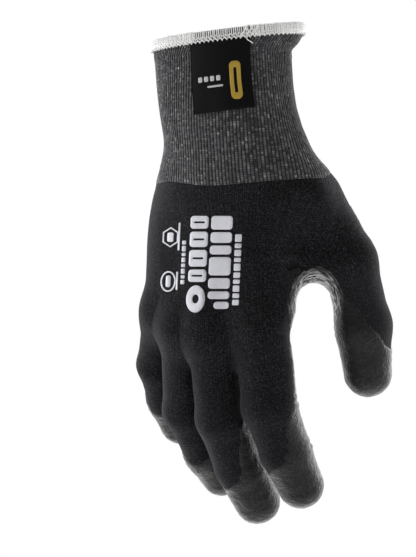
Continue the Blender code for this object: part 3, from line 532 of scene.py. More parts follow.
# grainy, slightly lumpy coating
coatlift = 0.10 * noise(HV, 2.2, 51) + 0.09 * noise(HV, 4.5, 52) + 0.06 * noise(HV, 1.3, 53)
across = np.stack([HV[:, 0] * 0.35, HV[:, 1] * 0.35, HV[:, 2]], 1)
coatlift += 0.07 * (1 - 2 * np.abs(noise(across, 2.0, 54)))
FIELD_N = gradient(hand_field, HV, 0.4)
FIELD_N /= np.maximum(np.linalg.norm(FIELD_N, axis=1), 1e-9)[:, None]
tuck = HV[:, 2] - cuff_line(HV)
lift = lift * step(-tuck / 3.0) - 0.42 * step((tuck + 0.3) / 0.8)
# painted highlight: the coating over the edge of the thumb web is lightened in an arched band, as seen from the viewing
# side
eu, ev = seen_at(HV)
rho = np.sqrt(((eu - 316.0) / 27.7) ** 2 + ((ev - 306.0) / 39.6) ** 2)
PAINTED_WEB_HIGHLIGHT = step((rho - 0.42) / 0.18) * step((1.08 - rho) / 0.34) * step((336.0 - ev) / 40.0) * step((HN @ BACK + 0.45) / 0.5)
PAINTED_WEB_HIGHLIGHT = PAINTED_WEB_HIGHLIGHT * np.clip(1.25 - 1.1 * (rho - 0.55) + 0.35 * ridge + 0.3 * noise(HV, 2.5, 61), 0.0, 1.4)
ARCH = np.stack([rho * 34.0, np.arctan2(eu - 316.0, 306.0 - ev) * 4.6, (HV @ BACK) * 0.9], 1)
# painted highlight: the coating is lightened in specks at the fingertips and grip edges, where it turns away from the
# viewing side
turned = HN @ BACK
PAINTED_GRAZING_SHEEN = np.clip(0.4 + 0.8 * noise(HV, 1.3, 63), 0, 1) * step((0.60 - turned) / 0.5) * step((turned + 0.35) / 0.4)
PAINTED_GRAZING_SHEEN = 0.16 * PAINTED_GRAZING_SHEEN * (1 - np.clip(PAINTED_WEB_HIGHLIGHT, 0, 1))
# painted light: the knit is lightened on the thumb and a little at the finger ends, in place of sheen from the side
# light
PAINTED_KNIT_LIGHT = 0.24 * step((4.5 - DL[:, 4]) / 3.0) * step((14.0 - HV[:, 2]) / 22.0) + 0.08 * step((-48.0 - HV[:, 2]) / 20.0)
KV = HV + FIELD_N * lift[:, None]
KN = vertex_normals(KV, HQ)
rise = -0.30 + 0.68 * step((CD + 0.7) / 1.5)
CV = HV + FIELD_N * (lift + rise + coatlift * step((CD + 0.3) / 1.5))[:, None]
CN = vertex_normals(CV, HQ)

# ------------------------------------------------------------ pieces by face
FC = HV[HQ].mean(1)
FD = limb_distance(FC)
FO = FD.argmin(1)
REGION = np.full(len(FC), 'palm', dtype=object)
REGION[FC[:, 2] < KNUCKLE_Z[0]] = 'knuckles'
sw = swing_weight(HV)[HQ].max(1)
for i, n in enumerate(NAMES):
    mid, end = ZONES[n]
    on = (FO == i) & (mid.along(FC) > -mid.half - 0.4) & (FC[:, 2] < -20)
    REGION[on] = n + '_lower'
    cut = mid.p + (end.p - mid.p) * 0.5
    on &= (FC - cut) @ unit(end.p - mid.p) > 0
    REGION[on] = n + '_tip'
thenar = (sw > 0) & ((FO == 4) | (FC[:, 2] > KNUCKLE_Z[0]))
thenar |= (FO == 4) & (FC[:, 2] < 14)
REGION[thenar] = 'thumb_web'
mid, end = ZONES['thumb']
on = (FO == 4) & (mid.along(FC) > -mid.half - 0.3)
REGION[on] = 'thumb_lower'
on &= (FC - (mid.p + end.p) / 2) @ unit(end.p - mid.p) > 0
REGION[on] = 'thumb_tip'

# stitch coordinates: wales round the limb, courses along it
LIMBS = {}
for i, n in enumerate(NAMES):
    LIMBS[i] = ([np.array(q) for q in FINGERS[n][0]], 58)
LIMBS[4] = (t, 62)


def stitch_uv(P, face_limb, centre):
    """P (F,k,3) corner points -> (F,k,2) stitch counts."""
    F, k = P.shape[:2]
    out = np.zeros((F, k, 2))
    # hand
    cx, cy = 15.0, 5.0
    th_f = np.arctan2((centre[:, 0] - cx) / 41.0, -(centre[:, 1] - cy) / 21.0)
    th_c = np.arctan2((P[..., 0] - cx) / 41.0, -(P[..., 1] - cy) / 21.0)
    d = (th_c - th_f[:, None] + pi) % (2 * pi) - pi
    out[..., 0] = (th_f[:, None] + d) / (2 * pi) * 156
    out[..., 1] = P[..., 2] / 1.05
    for limb, (p, wales) in LIMBS.items():
        on = face_limb == limb
        if not on.any():
            continue
        C, Q = centre[on], P[on]
        best = np.full(len(C), 1e9)
        res = np.zeros((len(C), k, 2))
        start = 0.0
        for s in range(3):
            d = p[s + 1] - p[s]
            L = np.linalg.norm(d)
            e = d / L
            w = np.clip(((C - p[s]) @ e) / L, 0, 1)
            dist = np.linalg.norm(C - p[s] - w[:, None] * d, axis=1)
            v = unit(np.array((0.0, 1.0, 0.0)) - e[1] * e)
            u = np.cross(e, v)
            tf = np.arctan2((C - p[s]) @ u, (C - p[s]) @ v)
            tc = np.arctan2((Q - p[s]) @ u, (Q - p[s]) @ v)
            dd = (tc - tf[:, None] + pi) % (2 * pi) - pi
            uv = np.stack([(tf[:, None] + dd) / (2 * pi) * wales, (start + (Q - p[s]) @ e) / 1.05], -1)
            m = dist < best
            res[m] = uv[m]
            best = np.where(m, dist, best)
            start += L
        out[on] = res
    return out


face_limb = np.full(len(FC), -1)
for i, n in enumerate(NAMES):
    face_limb[(FO == i) & (FC[:, 2] < -26)] = i
face_limb[(FO == 4) & (FC[:, 2] < 12)] = 4
HUV = stitch_uv(HV[HQ], face_limb, FC)

# ------------------------------------------------------------ mesh makers
OBJECTS = {}


def to_frame(V):
    return (np.asarray(V, float) + SHIFT) * 0.001


def make(name, V, F, material, uv=None, normals=None, smooth=True):
    """A mesh object in the row frame from points in millimetres."""
    me = bpy.data.meshes.new(name)
    F = np.asarray(F)
    if F.dtype == object or F.ndim == 1:
        me.from_pydata(to_frame(V).tolist(), [], [tuple(int(i) for i in f) for f in F])
    else:
        k = F.shape[1]
        me.vertices.add(len(V))
        me.vertices.foreach_set('co', to_frame(V).astype(np.float32).ravel())
        me.loops.add(len(F) * k)
        me.loops.foreach_set('vertex_index', F.astype(np.int32).ravel())
        me.polygons.add(len(F))
        me.polygons.foreach_set('loop_start', np.arange(len(F), dtype=np.int32) * k)
        me.update(calc_edges=True)
    me.validate()
    if smooth:
        me.polygons.foreach_set('use_smooth', np.ones(len(me.polygons), bool))
    if uv is not None and len(me.loops) == len(uv.reshape(-1, 2)):
        layer = me.uv_layers.new(name='stitch')
        layer.data.foreach_set('uv', uv.astype(np.float32).ravel())
    me.materials.append(material)
    if normals is not None:
        me.normals_split_custom_set_from_vertices(normals.tolist())
    me.update()
    ob = bpy.data.objects.new(name, me)
    bpy.context.scene.collection.objects.link(ob)
    OBJECTS[name] = ob
    return ob


def shell(name, faces, outer, normal, inner, material, uv):
    """Closed shell from part of the fine surface: outer skin, inner skin, rim."""
    Q = HQ[faces]
    used = np.unique(Q)
    m = -np.ones(len(HV), int)
    m[used] = np.arange(len(used))
    Q = m[Q]
    n = len(used)
    V = np.vstack([outer[used], inner[used]])
    N = np.vstack([normal[used], -normal[used]])
    E = np.concatenate([Q[:, [0, 1]], Q[:, [1, 2]], Q[:, [2, 3]], Q[:, [3, 0]]])
    key = E[:, 0].astype(np.int64) * n + E[:, 1]
    rev = E[:, 1].astype(np.int64) * n + E[:, 0]
    rim = E[~np.isin(key, rev)]
    R = np.stack([rim[:, 1], rim[:, 0], rim[:, 0] + n, rim[:, 1] + n], 1)
    F = np.vstack([Q, Q[:, ::-1] + n, R])
    U = uv[faces]
    UR = np.zeros((len(R), 4, 2))
    uvs = np.concatenate([U, U[:, ::-1], UR])
    return make(name, V, F, material, uvs, N)


def clean(sel):
    """Return the face selection unchanged."""
    return sel


# ------------------------------------------------------------ materials
class Mat:
    """Small helper to write node materials."""

    def __init__(self, name):
        self.m = bpy.data.materials.new(name)
        self.m.use_nodes = True
        self.t = self.m.node_tree
        self.b = self.t.nodes['Principled BSDF']

    def node(self, kind, **inputs):
        n = self.t.nodes.new(kind)
        for k, v in inputs.items():
            if k.startswith('_'):
                setattr(n, k[1:], v)
            else:
                key = int(k[1:]) if k[0] == 'i' and k[1:].isdigit() else k.replace('__', ' ')
                self.put(n.inputs[key], v)
        return n

    def put(self, sock, v):
        if isinstance(v, bpy.types.NodeSocket):
            self.t.links.new(v, sock)
        else:
            sock.default_value = v

    def math(self, op, a, b=0.0, c=0.0, clamp=False):
        n = self.t.nodes.new('ShaderNodeMath')
        n.operation = op
        n.use_clamp = clamp
        for s, v in zip(n.inputs, (a, b, c)):
            self.put(s, v)
        return n.outputs[0]

    def mix(self, fac, a, b):
        n = self.t.nodes.new('ShaderNodeMix')
        n.data_type = 'RGBA'
        self.put(n.inputs['Factor'], fac)
        for s, v in ((n.inputs[6], a), (n.inputs[7], b)):
            self.put(s, (*v, 1.0) if isinstance(v, tuple) and len(v) == 3 else v)
        return n.outputs[2]

    def noise(self, vec, scale, detail=2.0, rough=0.5, out='Fac'):
        n = self.node('ShaderNodeTexNoise', Scale=scale, Detail=detail, Roughness=rough)
        self.put(n.inputs['Vector'], vec)
        return n.outputs[out]

    def coords(self):
        return self.t.nodes.new('ShaderNodeTexCoord').outputs['Object']

    def scaled(self, vec, s):
        n = self.t.nodes.new('ShaderNodeVectorMath')
        n.operation = 'MULTIPLY'
        self.put(n.inputs[0], vec)
        n.inputs[1].default_value = s
        return n.outputs[0]

    def ramp(self, fac, *stops):
        n = self.t.nodes.new('ShaderNodeValToRGB')
        self.put(n.inputs[0], fac)
        e = n.color_ramp.elements
        while len(e) < len(stops):
            e.new(0.5)
        for el, (p, c) in zip(e, stops):
            el.position = p
            el.color = (*c, 1.0) if len(c) == 3 else c
        return n.outputs[0]

    def bump(self, height, strength, dist, normal=None):
        n = self.node('ShaderNodeBump', Strength=strength, Distance=dist)
        self.put(n.inputs['Height'], height)
        if normal is not None:
            self.put(n.inputs['Normal'], normal)
        return n.outputs[0]

    def stitches(self):
        """(wale number, course number, stitch height, groove) from the stitch map."""
        uv = self.node('ShaderNodeUVMap', _uv_map='stitch').outputs[0]
        sep = self.t.nodes.new('ShaderNodeSeparateXYZ')
        self.put(sep.inputs[0], uv)
        u, v = sep.outputs[0], sep.outputs[1]
        fu = self.math('FRACT', u)
        d = self.math('ABSOLUTE', self.math('SUBTRACT', fu, 0.5))
        p = self.math('FRACT', self.math('ADD', v, self.math('MULTIPLY', d, 1.5)))
        loop = self.math('POWER', self.math('SINE', self.math('MULTIPLY', p, pi)), 0.6)
        leg = self.math('SINE', self.math('MULTIPLY', d, 2 * pi))
        leg = self.math('POWER', self.math('MAXIMUM', leg, 0.0), 0.5)
        h = self.math('MULTIPLY', loop, leg)
        return u, v, h, d


def set_inputs(b, **kw):
    for k, v in kw.items():
        b.inputs[k.replace('__', ' ')].default_value = v


def knit_material():
    M = Mat('fine_black_knit')
    co = M.coords()
    u, v, h, d = M.stitches()
    fuzz = M.noise(co, 2600.0, 3.0, 0.6)
    slow = M.noise(co, 45.0, 3.0, 0.55)
    wale = M.node('ShaderNodeTexNoise', _noise_dimensions='2D', Scale=1.0, Detail=1.0)
    comb = M.t.nodes.new('ShaderNodeCombineXYZ')
    M.put(comb.inputs[0], M.math('FLOOR', u))
    M.put(comb.inputs[1], M.math('MULTIPLY', v, 0.05))
    M.put(wale.inputs['Vector'], comb.outputs[0])
    # painted shade: the tone rises on the stitch loops and drops in the valleys between the wales
    valley = M.math('POWER', M.math('MULTIPLY', d, 2.0), 3.0)
    tone = M.math('MULTIPLY_ADD', h, 0.50, M.math('MULTIPLY', wale.outputs['Fac'], 0.22))
    tone = M.math('SUBTRACT', tone, M.math('MULTIPLY', valley, 0.22))
    tone = M.math('ADD', tone, M.math('MULTIPLY', M.math('SUBTRACT', slow, 0.5), 0.4))
    speck = M.noise(co, 1150.0, 2.0, 0.6)
    tone = M.math('ADD', tone, M.math('MULTIPLY', M.math('SUBTRACT', speck, 0.5), 2.2))
    col = M.ramp(tone, (0.0, (0.0014, 0.0014, 0.0017)), (0.45, (0.0087, 0.0087, 0.0098)), (1.0, (0.034, 0.0342, 0.0385)))
    # painted light: lighter knit on the thumb and the finger ends
    drawn = M.node('ShaderNodeAttribute', _attribute_name='drawn').outputs['Fac']
    col = M.mix(drawn, col, (0.030, 0.0305, 0.034))
    M.put(M.b.inputs['Base Color'], col)
    M.put(M.b.inputs['Roughness'], M.math('MULTIPLY_ADD', fuzz, 0.18, 0.72))
    height = M.math('ADD', h, M.math('MULTIPLY', fuzz, 0.35))
    M.put(M.b.inputs['Normal'], M.bump(height, 0.55, 0.00022))
    set_inputs(M.b, IOR=1.4, Specular__IOR__Level=0.10, Sheen__Weight=0.13, Sheen__Roughness=0.30, Sheen__Tint=(0.66, 0.70, 0.78, 1.0))
    return M.m


def coat_material():
    M = Mat('dipped_grip_coating')
    co = M.coords()
    grain = M.noise(co, 1500.0, 3.0, 0.62)
    lumps = M.noise(co, 420.0, 3.0, 0.6)
    slow = M.noise(co, 60.0, 3.0, 0.6)
    vor = M.node('ShaderNodeTexVoronoi', Scale=900.0)
    M.put(vor.inputs['Vector'], co)
    cross = M.noise(M.scaled(co, (0.3, 0.3, 1.0)), 900.0, 2.0, 0.5)
    speck = M.noise(co, 1000.0, 2.0, 0.6)
    tone = M.math('ADD', M.math('MULTIPLY', slow, 0.45), M.math('MULTIPLY', grain, 0.30))
    tone = M.math('ADD', tone, M.math('MULTIPLY', M.math('SUBTRACT', speck, 0.36), 0.9))
    col = M.ramp(tone, (0.30, (0.0014, 0.0014, 0.0014)), (0.52, (0.0050, 0.0048, 0.0046)), (0.75, (0.020, 0.0195, 0.0188)))
    # painted highlight: lighter specks where the coating turns away from the viewing side
    pale = M.node('ShaderNodeAttribute', _attribute_name='pale').outputs['Fac']
    pale = M.math('MULTIPLY', pale, M.math('MULTIPLY_ADD', M.math('SUBTRACT', grain, 0.5), 3.0, 0.80), clamp=True)
    col = M.mix(pale, col, (0.30, 0.30, 0.30))
    # painted highlight on the edge of the thumb web: pale wisps that run along the arch
    arch = M.node('ShaderNodeAttribute', _attribute_name='arch').outputs['Vector']
    wisp = M.noise(arch, 0.62, 4.0, 0.7)
    rubbed = M.node('ShaderNodeAttribute', _attribute_name='rubbed').outputs['Fac']
    rubbed = M.math('MULTIPLY', rubbed, M.math('MULTIPLY_ADD', M.math('SUBTRACT', wisp, 0.50), 7.5, 0.34), clamp=True)
    col = M.mix(rubbed, col, (0.43, 0.43, 0.435))
    M.put(M.b.inputs['Base Color'], col)
    M.put(M.b.inputs['Roughness'], M.math('ADD', 0.34, M.math('MULTIPLY', lumps, 0.24)))
    height = M.math('ADD', M.math('MULTIPLY', grain, 0.45), M.math('MULTIPLY', lumps, 0.9))
    height = M.math('ADD', height, M.math('MULTIPLY', vor.outputs['Distance'], 0.5))
    height = M.math('ADD', height, M.math('MULTIPLY', cross, 0.5))
    M.put(M.b.inputs['Normal'], M.bump(height, 0.9, 0.00042))
    set_inputs(M.b, IOR=1.45, Specular__IOR__Level=0.24, Sheen__Weight=0.45, Sheen__Roughness=0.3)
    return M.m


def rib_material():
    M = Mat('heathered_rib_knit')
    co = M.coords()
    u, v, h, d = M.stitches()
    fu, fv = M.math('FLOOR', u), M.math('FLOOR', M.math('ADD', v, M.math('MULTIPLY', d, 0.7)))
    comb = M.t.nodes.new('ShaderNodeCombineXYZ')
    M.put(comb.inputs[0], fu)
    M.put(comb.inputs[1], fv)
    white = M.t.nodes.new('ShaderNodeTexWhiteNoise')
    white.noise_dimensions = '2D'
    M.put(white.inputs['Vector'], comb.outputs[0])
    streak_v = M.t.nodes.new('ShaderNodeCombineXYZ')
    M.put(streak_v.inputs[0], M.math('MULTIPLY', fu, 7.13))
    M.put(streak_v.inputs[1], M.math('MULTIPLY', v, 0.30))
    streak = M.node('ShaderNodeTexNoise', _noise_dimensions='2D', Scale=1.0, Detail=2.0)
    M.put(streak.inputs['Vector'], streak_v.outputs[0])
    fibre = M.noise(co, 3200.0, 3.0, 0.65)
    patch = M.noise(co, 38.0, 2.0, 0.5)
    pick = M.math('ADD', M.math('MULTIPLY', white.outputs['Value'], 0.34), M.math('MULTIPLY', streak.outputs['Fac'], 0.38))
    pick = M.math('ADD', pick, M.math('MULTIPLY', M.math('SUBTRACT', patch, 0.5), 0.20))
    pick = M.math('ADD', pick, M.math('MULTIPLY', M.math('SUBTRACT', fibre, 0.5), 0.45))
    yarn = M.ramp(pick, (0.10, (0.012, 0.012, 0.013)), (0.32, (0.075, 0.076, 0.082)), (0.52, (0.19, 0.19, 0.199)), (0.68, (0.66, 0.66, 0.66)))
    # painted shade: grooves between the ribs and between the stitch loops are darkened
    crest = M.math('SMOOTH_MAX', M.math('SUBTRACT', 1.0, M.math('MULTIPLY', d, 2.6)), 0.0, 0.1)
    shade = M.math('MULTIPLY_ADD', M.math('MULTIPLY', crest, M.math('MULTIPLY_ADD', h, 1.25, 0.08)), 1.1, 0.03, clamp=True)
    col = M.mix(shade, (0.004, 0.004, 0.005), yarn)
    M.put(M.b.inputs['Base Color'], col)
    M.put(M.b.inputs['Roughness'], M.math('MULTIPLY_ADD', fibre, 0.2, 0.75))
    height = M.math('ADD', h, M.math('MULTIPLY', fibre, 0.5))
    M.put(M.b.inputs['Normal'], M.bump(height, 0.9, 0.00030))
    set_inputs(M.b, Specular__IOR__Level=0.2, Sheen__Weight=0.25, Sheen__Roughness=0.5)
    return M.m


def thread_material(name, base, ply_groove_shade, scale=1.0):
    """Twisted yarn: plies wind along the length in the stitch map."""
    M = Mat(name)
    co = M.coords()
    uv = M.node('ShaderNodeUVMap', _uv_map='stitch').outputs[0]
    sep = M.t.nodes.new('ShaderNodeSeparateXYZ')
    M.put(sep.inputs[0], uv)
    ply = M.math('SINE', M.math('MULTIPLY', M.math('ADD', sep.outputs[0], M.math('MULTIPLY', sep.outputs[1], 1.4)), 2 * pi))
    ply = M.math('MULTIPLY_ADD', ply, 0.5, 0.5)
    fibre = M.noise(co, 4200.0 * scale, 3.0, 0.7)
    slow = M.noise(co, 160.0, 2.0, 0.5)
    # painted shade: the colour darkens in the grooves between the twisted plies
    tone = M.math('ADD', M.math('MULTIPLY', ply, 0.45), M.math('MULTIPLY', fibre, 0.4))
    tone = M.math('ADD', tone, M.math('MULTIPLY', slow, 0.25))
    col = M.ramp(tone, (0.15, ply_groove_shade), (0.6, base), (1.0, tuple(min(1.0, c * 1.12) for c in base)))
    M.put(M.b.inputs['Base Color'], col)
    M.put(M.b.inputs['Roughness'], M.math('MULTIPLY_ADD', fibre, 0.2, 0.68))
    M.put(M.b.inputs['Normal'], M.bump(M.math('ADD', ply, M.math('MULTIPLY', fibre, 0.6)), 0.7, 0.00016))
    set_inputs(M.b, Specular__IOR__Level=0.25, Sheen__Weight=0.3, Sheen__Roughness=0.5)
    return M.m


def ribbon_material(name, low, high, rough, pitch=(3.4, 2.2), spec=0.16):
    """Woven ribbon: satin floats run across, fine warp lines run along."""
    M = Mat(name)
    co = M.coords()
    uv = M.node('ShaderNodeUVMap', _uv_map='stitch').outputs[0]
    sep = M.t.nodes.new('ShaderNodeSeparateXYZ')
    M.put(sep.inputs[0], uv)
    u, v = sep.outputs[0], sep.outputs[1]
    warp = M.math('MULTIPLY_ADD', M.math('SINE', M.math('MULTIPLY', u, 2 * pi * pitch[0])), 0.5, 0.5)
    weft = M.math('MULTIPLY_ADD', M.math('SINE', M.math('MULTIPLY', M.math('ADD', v, M.math('MULTIPLY', u, 0.35)), 2 * pi * pitch[1])), 0.5, 0.5)
    fibre = M.noise(co, 3600.0, 3.0, 0.6)
    slow = M.noise(co, 120.0, 2.0, 0.5)
    h = M.math('ADD', M.math('MULTIPLY', warp, 0.35), M.math('MULTIPLY', weft, 0.55))
    # painted shade: the colour follows the weave height, darker where the floats dip
    tone = M.math('ADD', M.math('MULTIPLY', h, 0.55), M.math('MULTIPLY', fibre, 0.3))
    tone = M.math('ADD', tone, M.math('MULTIPLY', slow, 0.2))
    M.put(M.b.inputs['Base Color'], M.ramp(tone, (0.1, low), (0.9, high)))
    M.put(M.b.inputs['Roughness'], M.math('MULTIPLY_ADD', fibre, 0.16, rough))
    M.put(M.b.inputs['Normal'], M.bump(M.math('ADD', h, M.math('MULTIPLY', fibre, 0.3)), 0.55, 0.00010))
    set_inputs(M.b, Specular__IOR__Level=spec, Anisotropic=0.3, Sheen__Weight=0.03)
    return M.m


def print_material():
    M = Mat('pale_transfer_print')
    co = M.coords()
    weave = M.node('ShaderNodeTexWave', Scale=380.0, Distortion=1.5, Detail=1.0, Detail__Scale=2.0)
    weave.bands_direction = 'X'
    M.put(weave.inputs['Vector'], co)
    fine = M.noise(co, 2200.0, 3.0, 0.65)
    slow = M.noise(co, 140.0, 3.0, 0.6)
    wear = M.math('ADD', M.math('MULTIPLY', fine, 0.6), M.math('MULTIPLY', slow, 0.5))
    col = M.ramp(wear, (0.28, (0.27, 0.27, 0.30)), (0.45, (0.50, 0.50, 0.54)), (0.75, (0.60, 0.60, 0.65)))
    M.put(M.b.inputs['Base Color'], col)
    M.put(M.b.inputs['Roughness'], M.math('MULTIPLY_ADD', fine, 0.25, 0.42))
    height = M.math('ADD', M.math('MULTIPLY', weave.outputs['Fac'], 0.6), M.math('MULTIPLY', fine, 0.6))
    M.put(M.b.inputs['Normal'], M.bump(height, 0.6, 0.00014))
    set_inputs(M.b, Specular__IOR__Level=0.35)
    return M.m


KNIT = knit_material()
COAT = coat_material()
RIB = rib_material()
THREAD = thread_material('white_overlock_thread', (0.88, 0.88, 0.865), (0.50, 0.50, 0.49))
ELASTIC = thread_material('covered_elastic_yarn', (0.62, 0.62, 0.60), (0.30, 0.30, 0.29))
RIBBON = ribbon_material('black_satin_ribbon', (0.0010, 0.0010, 0.0011), (0.0034, 0.0034, 0.0037), 0.48, spec=0.07)
GOLD = ribbon_material('gold_woven_motif', (0.26, 0.165, 0.018), (0.52, 0.36, 0.060), 0.45, (4.0, 3.0))
PALE = ribbon_material('grey_woven_motif', (0.34, 0.34, 0.34), (0.62, 0.62, 0.62), 0.5, (4.0, 3.0))
PRINT = print_material()

# ------------------------------------------------------------ hand pieces
inner_knit = HV - FIELD_N * WALL + FIELD_N * np.minimum(lift, 0)[:, None] * 0.8
inner_coat = HV + FIELD_N * (np.minimum(lift, 0.1) - 0.34)[:, None]
coat_v = CD > -1.1
coat_f = coat_v[HQ].all(1)


def tie(ob, region):
    """Attach the palm piece to the palm body; every other piece only has its transform baked."""
    if region == 'palm':
        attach(ob, 'palm')
    elif region == 'knuckles':
        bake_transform(ob)
    elif region == 'thumb_web':
        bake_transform(ob)
        co = np.zeros(len(ob.data.vertices) * 3, np.float32)
        ob.data.vertices.foreach_get('co', co)
    elif region == 'thumb_lower':
        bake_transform(ob)
    elif region == 'thumb_tip':
        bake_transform(ob)
    else:
        n, part = region.split('_')
        if part == 'lower':
            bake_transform(ob)
        else:
            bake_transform(ob)


STANDS = {'palm': 'palm', 'knuckles': 'knuckle', 'thumb_web': 'thumb_root', 'thumb_lower': 'thumb_middle', 'thumb_tip': 'thumb_tip'}
for n in NAMES:
    STANDS[n + '_lower'], STANDS[n + '_tip'] = n + '_middle', n + '_tip'
for region, stem in STANDS.items():
    sel = REGION == region
    ob = shell('knit_' + region, np.where(sel)[0], KV, KN, inner_knit, KNIT, HUV)
    nodes = [stem + '_liner'] + ([n + '_base_liner' for n in NAMES] if region == 'knuckles' else [])
    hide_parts(*nodes)
    used = np.unique(HQ[np.where(sel)[0]])
    # the knit carries its painted light as a point attribute
    ob.data.attributes.new('drawn', 'FLOAT', 'POINT').data.foreach_set('value', np.tile(PAINTED_KNIT_LIGHT[used], 2).astype(np.float32))
    tie(ob, region)
    faces = np.where(sel & coat_f)[0]
    ob = shell('coat_' + region, faces, CV, CN, inner_coat, COAT, HUV)
    used = np.unique(HQ[faces])
    # the coating carries its painted highlights as point attributes
    for name_, tone in (('pale', PAINTED_GRAZING_SHEEN), ('rubbed', PAINTED_WEB_HIGHLIGHT)):
        ob.data.attributes.new(name_, 'FLOAT', 'POINT').data.foreach_set('value', np.tile(tone[used], 2).astype(np.float32))
    ob.data.attributes.new('arch', 'FLOAT_VECTOR', 'POINT').data.foreach_set('vector', np.tile(ARCH[used], (2, 1)).astype(np.float32).ravel())
    nodes = [stem + '_coating'] + ([n + '_base_coating' for n in NAMES] if region == 'knuckles' else [])
    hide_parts(*nodes)
    tie(ob, region)

# ------------------------------------------------------------ cuff
RIM_N = unit((-RIM_SLOPE_X, -RIM_SLOPE_Y, 1.0))
RIM_P = np.array((RIM_X, 0.0, RIM_Z))
RIBS, PER = 130, 6
COLS = RIBS * PER
ROWS = 96


def sleeve_field(P):
    return hand_field(P, False)


def flare(E, w):
    """The opening is stretched outwards by the hem, most on the thumb side."""
    r_ = E @ RIGHT
    top = 0.4 + 4.9 * step((r_ - 0.15) / 0.75)
    return top * step((0.22 - w) / 0.19)


def ring_at(w, samples=240):
    """Points round the cuff at the share w from the opening (0) to the hand (1)."""
    ph = np.arange(samples) * 2 * pi / samples
    E = np.stack([np.sin(ph), np.cos(ph), np.zeros(samples)], 1)
    z = np.full(samples, RIM_Z * (1 - w) + 47.0 * w)
    for _ in range(4):
        cx, cy, _, _ = section_at(z)
        zm = z.mean()
        cx, cy = section_at(np.full(samples, zm))[:2]
        C = np.stack([cx, cy, z], 1)
        R = radius(sleeve_field, C, E, 60.0, 20)
        P = C + R[:, None] * E
        top = RIM_Z + (P[:, 0] - RIM_X) * RIM_SLOPE_X + P[:, 1] * RIM_SLOPE_Y
        low = cuff_line(P) - 0.5
        z = top * (1 - w) + low * w
    return P + flare(E, w)[:, None] * E


def resample(P, n):
    Q = np.vstack([P, P[:1]])
    s = np.concatenate([[0], np.cumsum(np.linalg.norm(Q[1:] - Q[:-1], axis=1))])
    at = np.linspace(0, s[-1], n, endpoint=False)
    return np.stack([np.interp(at, s, Q[:, i]) for i in range(3)], 1)


key_w = np.linspace(0, 1, 25)
key = np.array([resample(ring_at(w), COLS) for w in key_w])
# let the ribs run straight down the cuff between its two ends
for _ in range(12):
    for _ in range(30):
        key[4:-1] += 0.5 * (0.5 * (key[3:-2] + key[5:]) - key[4:-1])
    flat_ = key[4:].reshape(-1, 3)
    keep = flat_[:, 2].copy()
    moved = project(sleeve_field, flat_, 2)
    moved[:, 2] = 0.5 * (moved[:, 2] + keep)
    key[4:-1] = moved.reshape(-1, COLS, 3)[:-1] + 0.0
ws = np.linspace(0, 1, ROWS + 1)
k0 = np.clip(np.searchsorted(key_w, ws, 'right') - 1, 0, 23)


def spline_rows(key, ws):
    """Catmull-Rom between the measured rings."""
    n = len(key)
    x = ws * (n - 1)
    i = np.clip(np.floor(x).astype(int), 0, n - 2)
    f = (x - i)[:, None, None]
    p0, p1, p2, p3 = key[np.maximum(i - 1, 0)], key[i], key[i + 1], key[np.minimum(i + 2, n - 1)]
    return 0.5 * (2 * p1 + (p2 - p0) * f + (2 * p0 - 5 * p1 + 4 * p2 - p3) * f ** 2 + (3 * p1 - p0 - 3 * p2 + p3) * f ** 3)


def grid_normals(G):
    du = np.roll(G, -1, 1) - np.roll(G, 1, 1)
    dv = np.empty_like(G)
    dv[1:-1] = G[2:] - G[:-2]
    dv[0], dv[-1] = G[1] - G[0], G[-1] - G[-2]
    N = np.cross(du, dv)
    return N / np.maximum(np.linalg.norm(N, axis=2), 1e-9)[..., None]


G = spline_rows(key, ws)
GN = grid_normals(G)
if ((G[40] - G[40].mean(0)) * GN[40]).sum() < 0:
    GN = -GN
ph = np.arange(COLS) / PER
jit = noise(np.stack([np.floor(ph) * 3.7, ph * 0, ph * 0], 1), 1.0, 71)
ribs = 0.5 + 0.5 * np.cos(2 * pi * (ph - 0.5))
ribs = ribs ** 0.85
flatG = G.reshape(-1, 3)
slow = (0.28 * noise(flatG, 16.0, 72) + 0.16 * noise(flatG * np.array((1, 1, 0.5)), 6.0, 73)).reshape(ROWS + 1, COLS)
mm = np.abs(G[:, 0, 2] - G[0, 0, 2])
course = 0.05 * np.cos(2 * pi * mm / 1.4)[:, None]
depth = 0.42 * (1 + 0.22 * jit)[None, :] * np.ones((ROWS + 1, 1))
fade = step(np.minimum(ws / 0.05, 1.0))[:, None]
off = 0.02 + depth * ribs[None, :] * (0.35 + 0.65 * fade) + slow * fade + course * ribs[None, :] * fade
low = step((ws - 0.975) / 0.025)[:, None]
off = off * (1 - 0.55 * low)
CUFF = G + GN * off[..., None]
inner_rows = np.linspace(0, ROWS, 33).round().astype(int)[::-1]
CIN = (G - GN * (WALL - 0.12 + 0.0) + GN * ((0.25 * (1 - ribs))[None, :, None] * -1))[inner_rows]
GRID = np.concatenate([CUFF, CIN])
n_out = ROWS + 1
N2 = grid_normals(CUFF)
if (N2[40] * GN[40]).sum() < 0:
    N2 = -N2
NIN = -GN[inner_rows]
NALL = np.concatenate([N2, NIN]).reshape(-1, 3)
r = np.arange(GRID.shape[0])
c = np.arange(COLS)
R0, C0 = np.meshgrid(r, c, indexing='ij')
R1, C1 = (R0 + 1) % GRID.shape[0], (C0 + 1) % COLS
F = np.stack([R0 * COLS + C0, R0 * COLS + C1, R1 * COLS + C1, R1 * COLS + C0], -1).reshape(-1, 4)
V = GRID.reshape(-1, 3)
# stitch map
rowv = np.concatenate([mm / 1.02, (mm / 1.02)[inner_rows]])
uu = np.stack([C0 / PER, (C0 + 1) / PER, (C0 + 1) / PER, C0 / PER], -1).reshape(-1, 4)
vv = np.stack([rowv[R0], rowv[R0], rowv[R1], rowv[R1]], -1).reshape(-1, 4)
UV = np.stack([uu, vv], -1)
test = F[COLS * 40]
nn = np.cross(V[test[1]] - V[test[0]], V[test[2]] - V[test[0]])
if nn @ GN[40, 0] < 0:
    F, UV = F[:, ::-1], UV[:, ::-1]
cuff = make('cuff_rib_knit', V, F, RIB, UV, NALL)
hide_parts('cuff_rib', 'cuff_rib_wrist')
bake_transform(cuff)


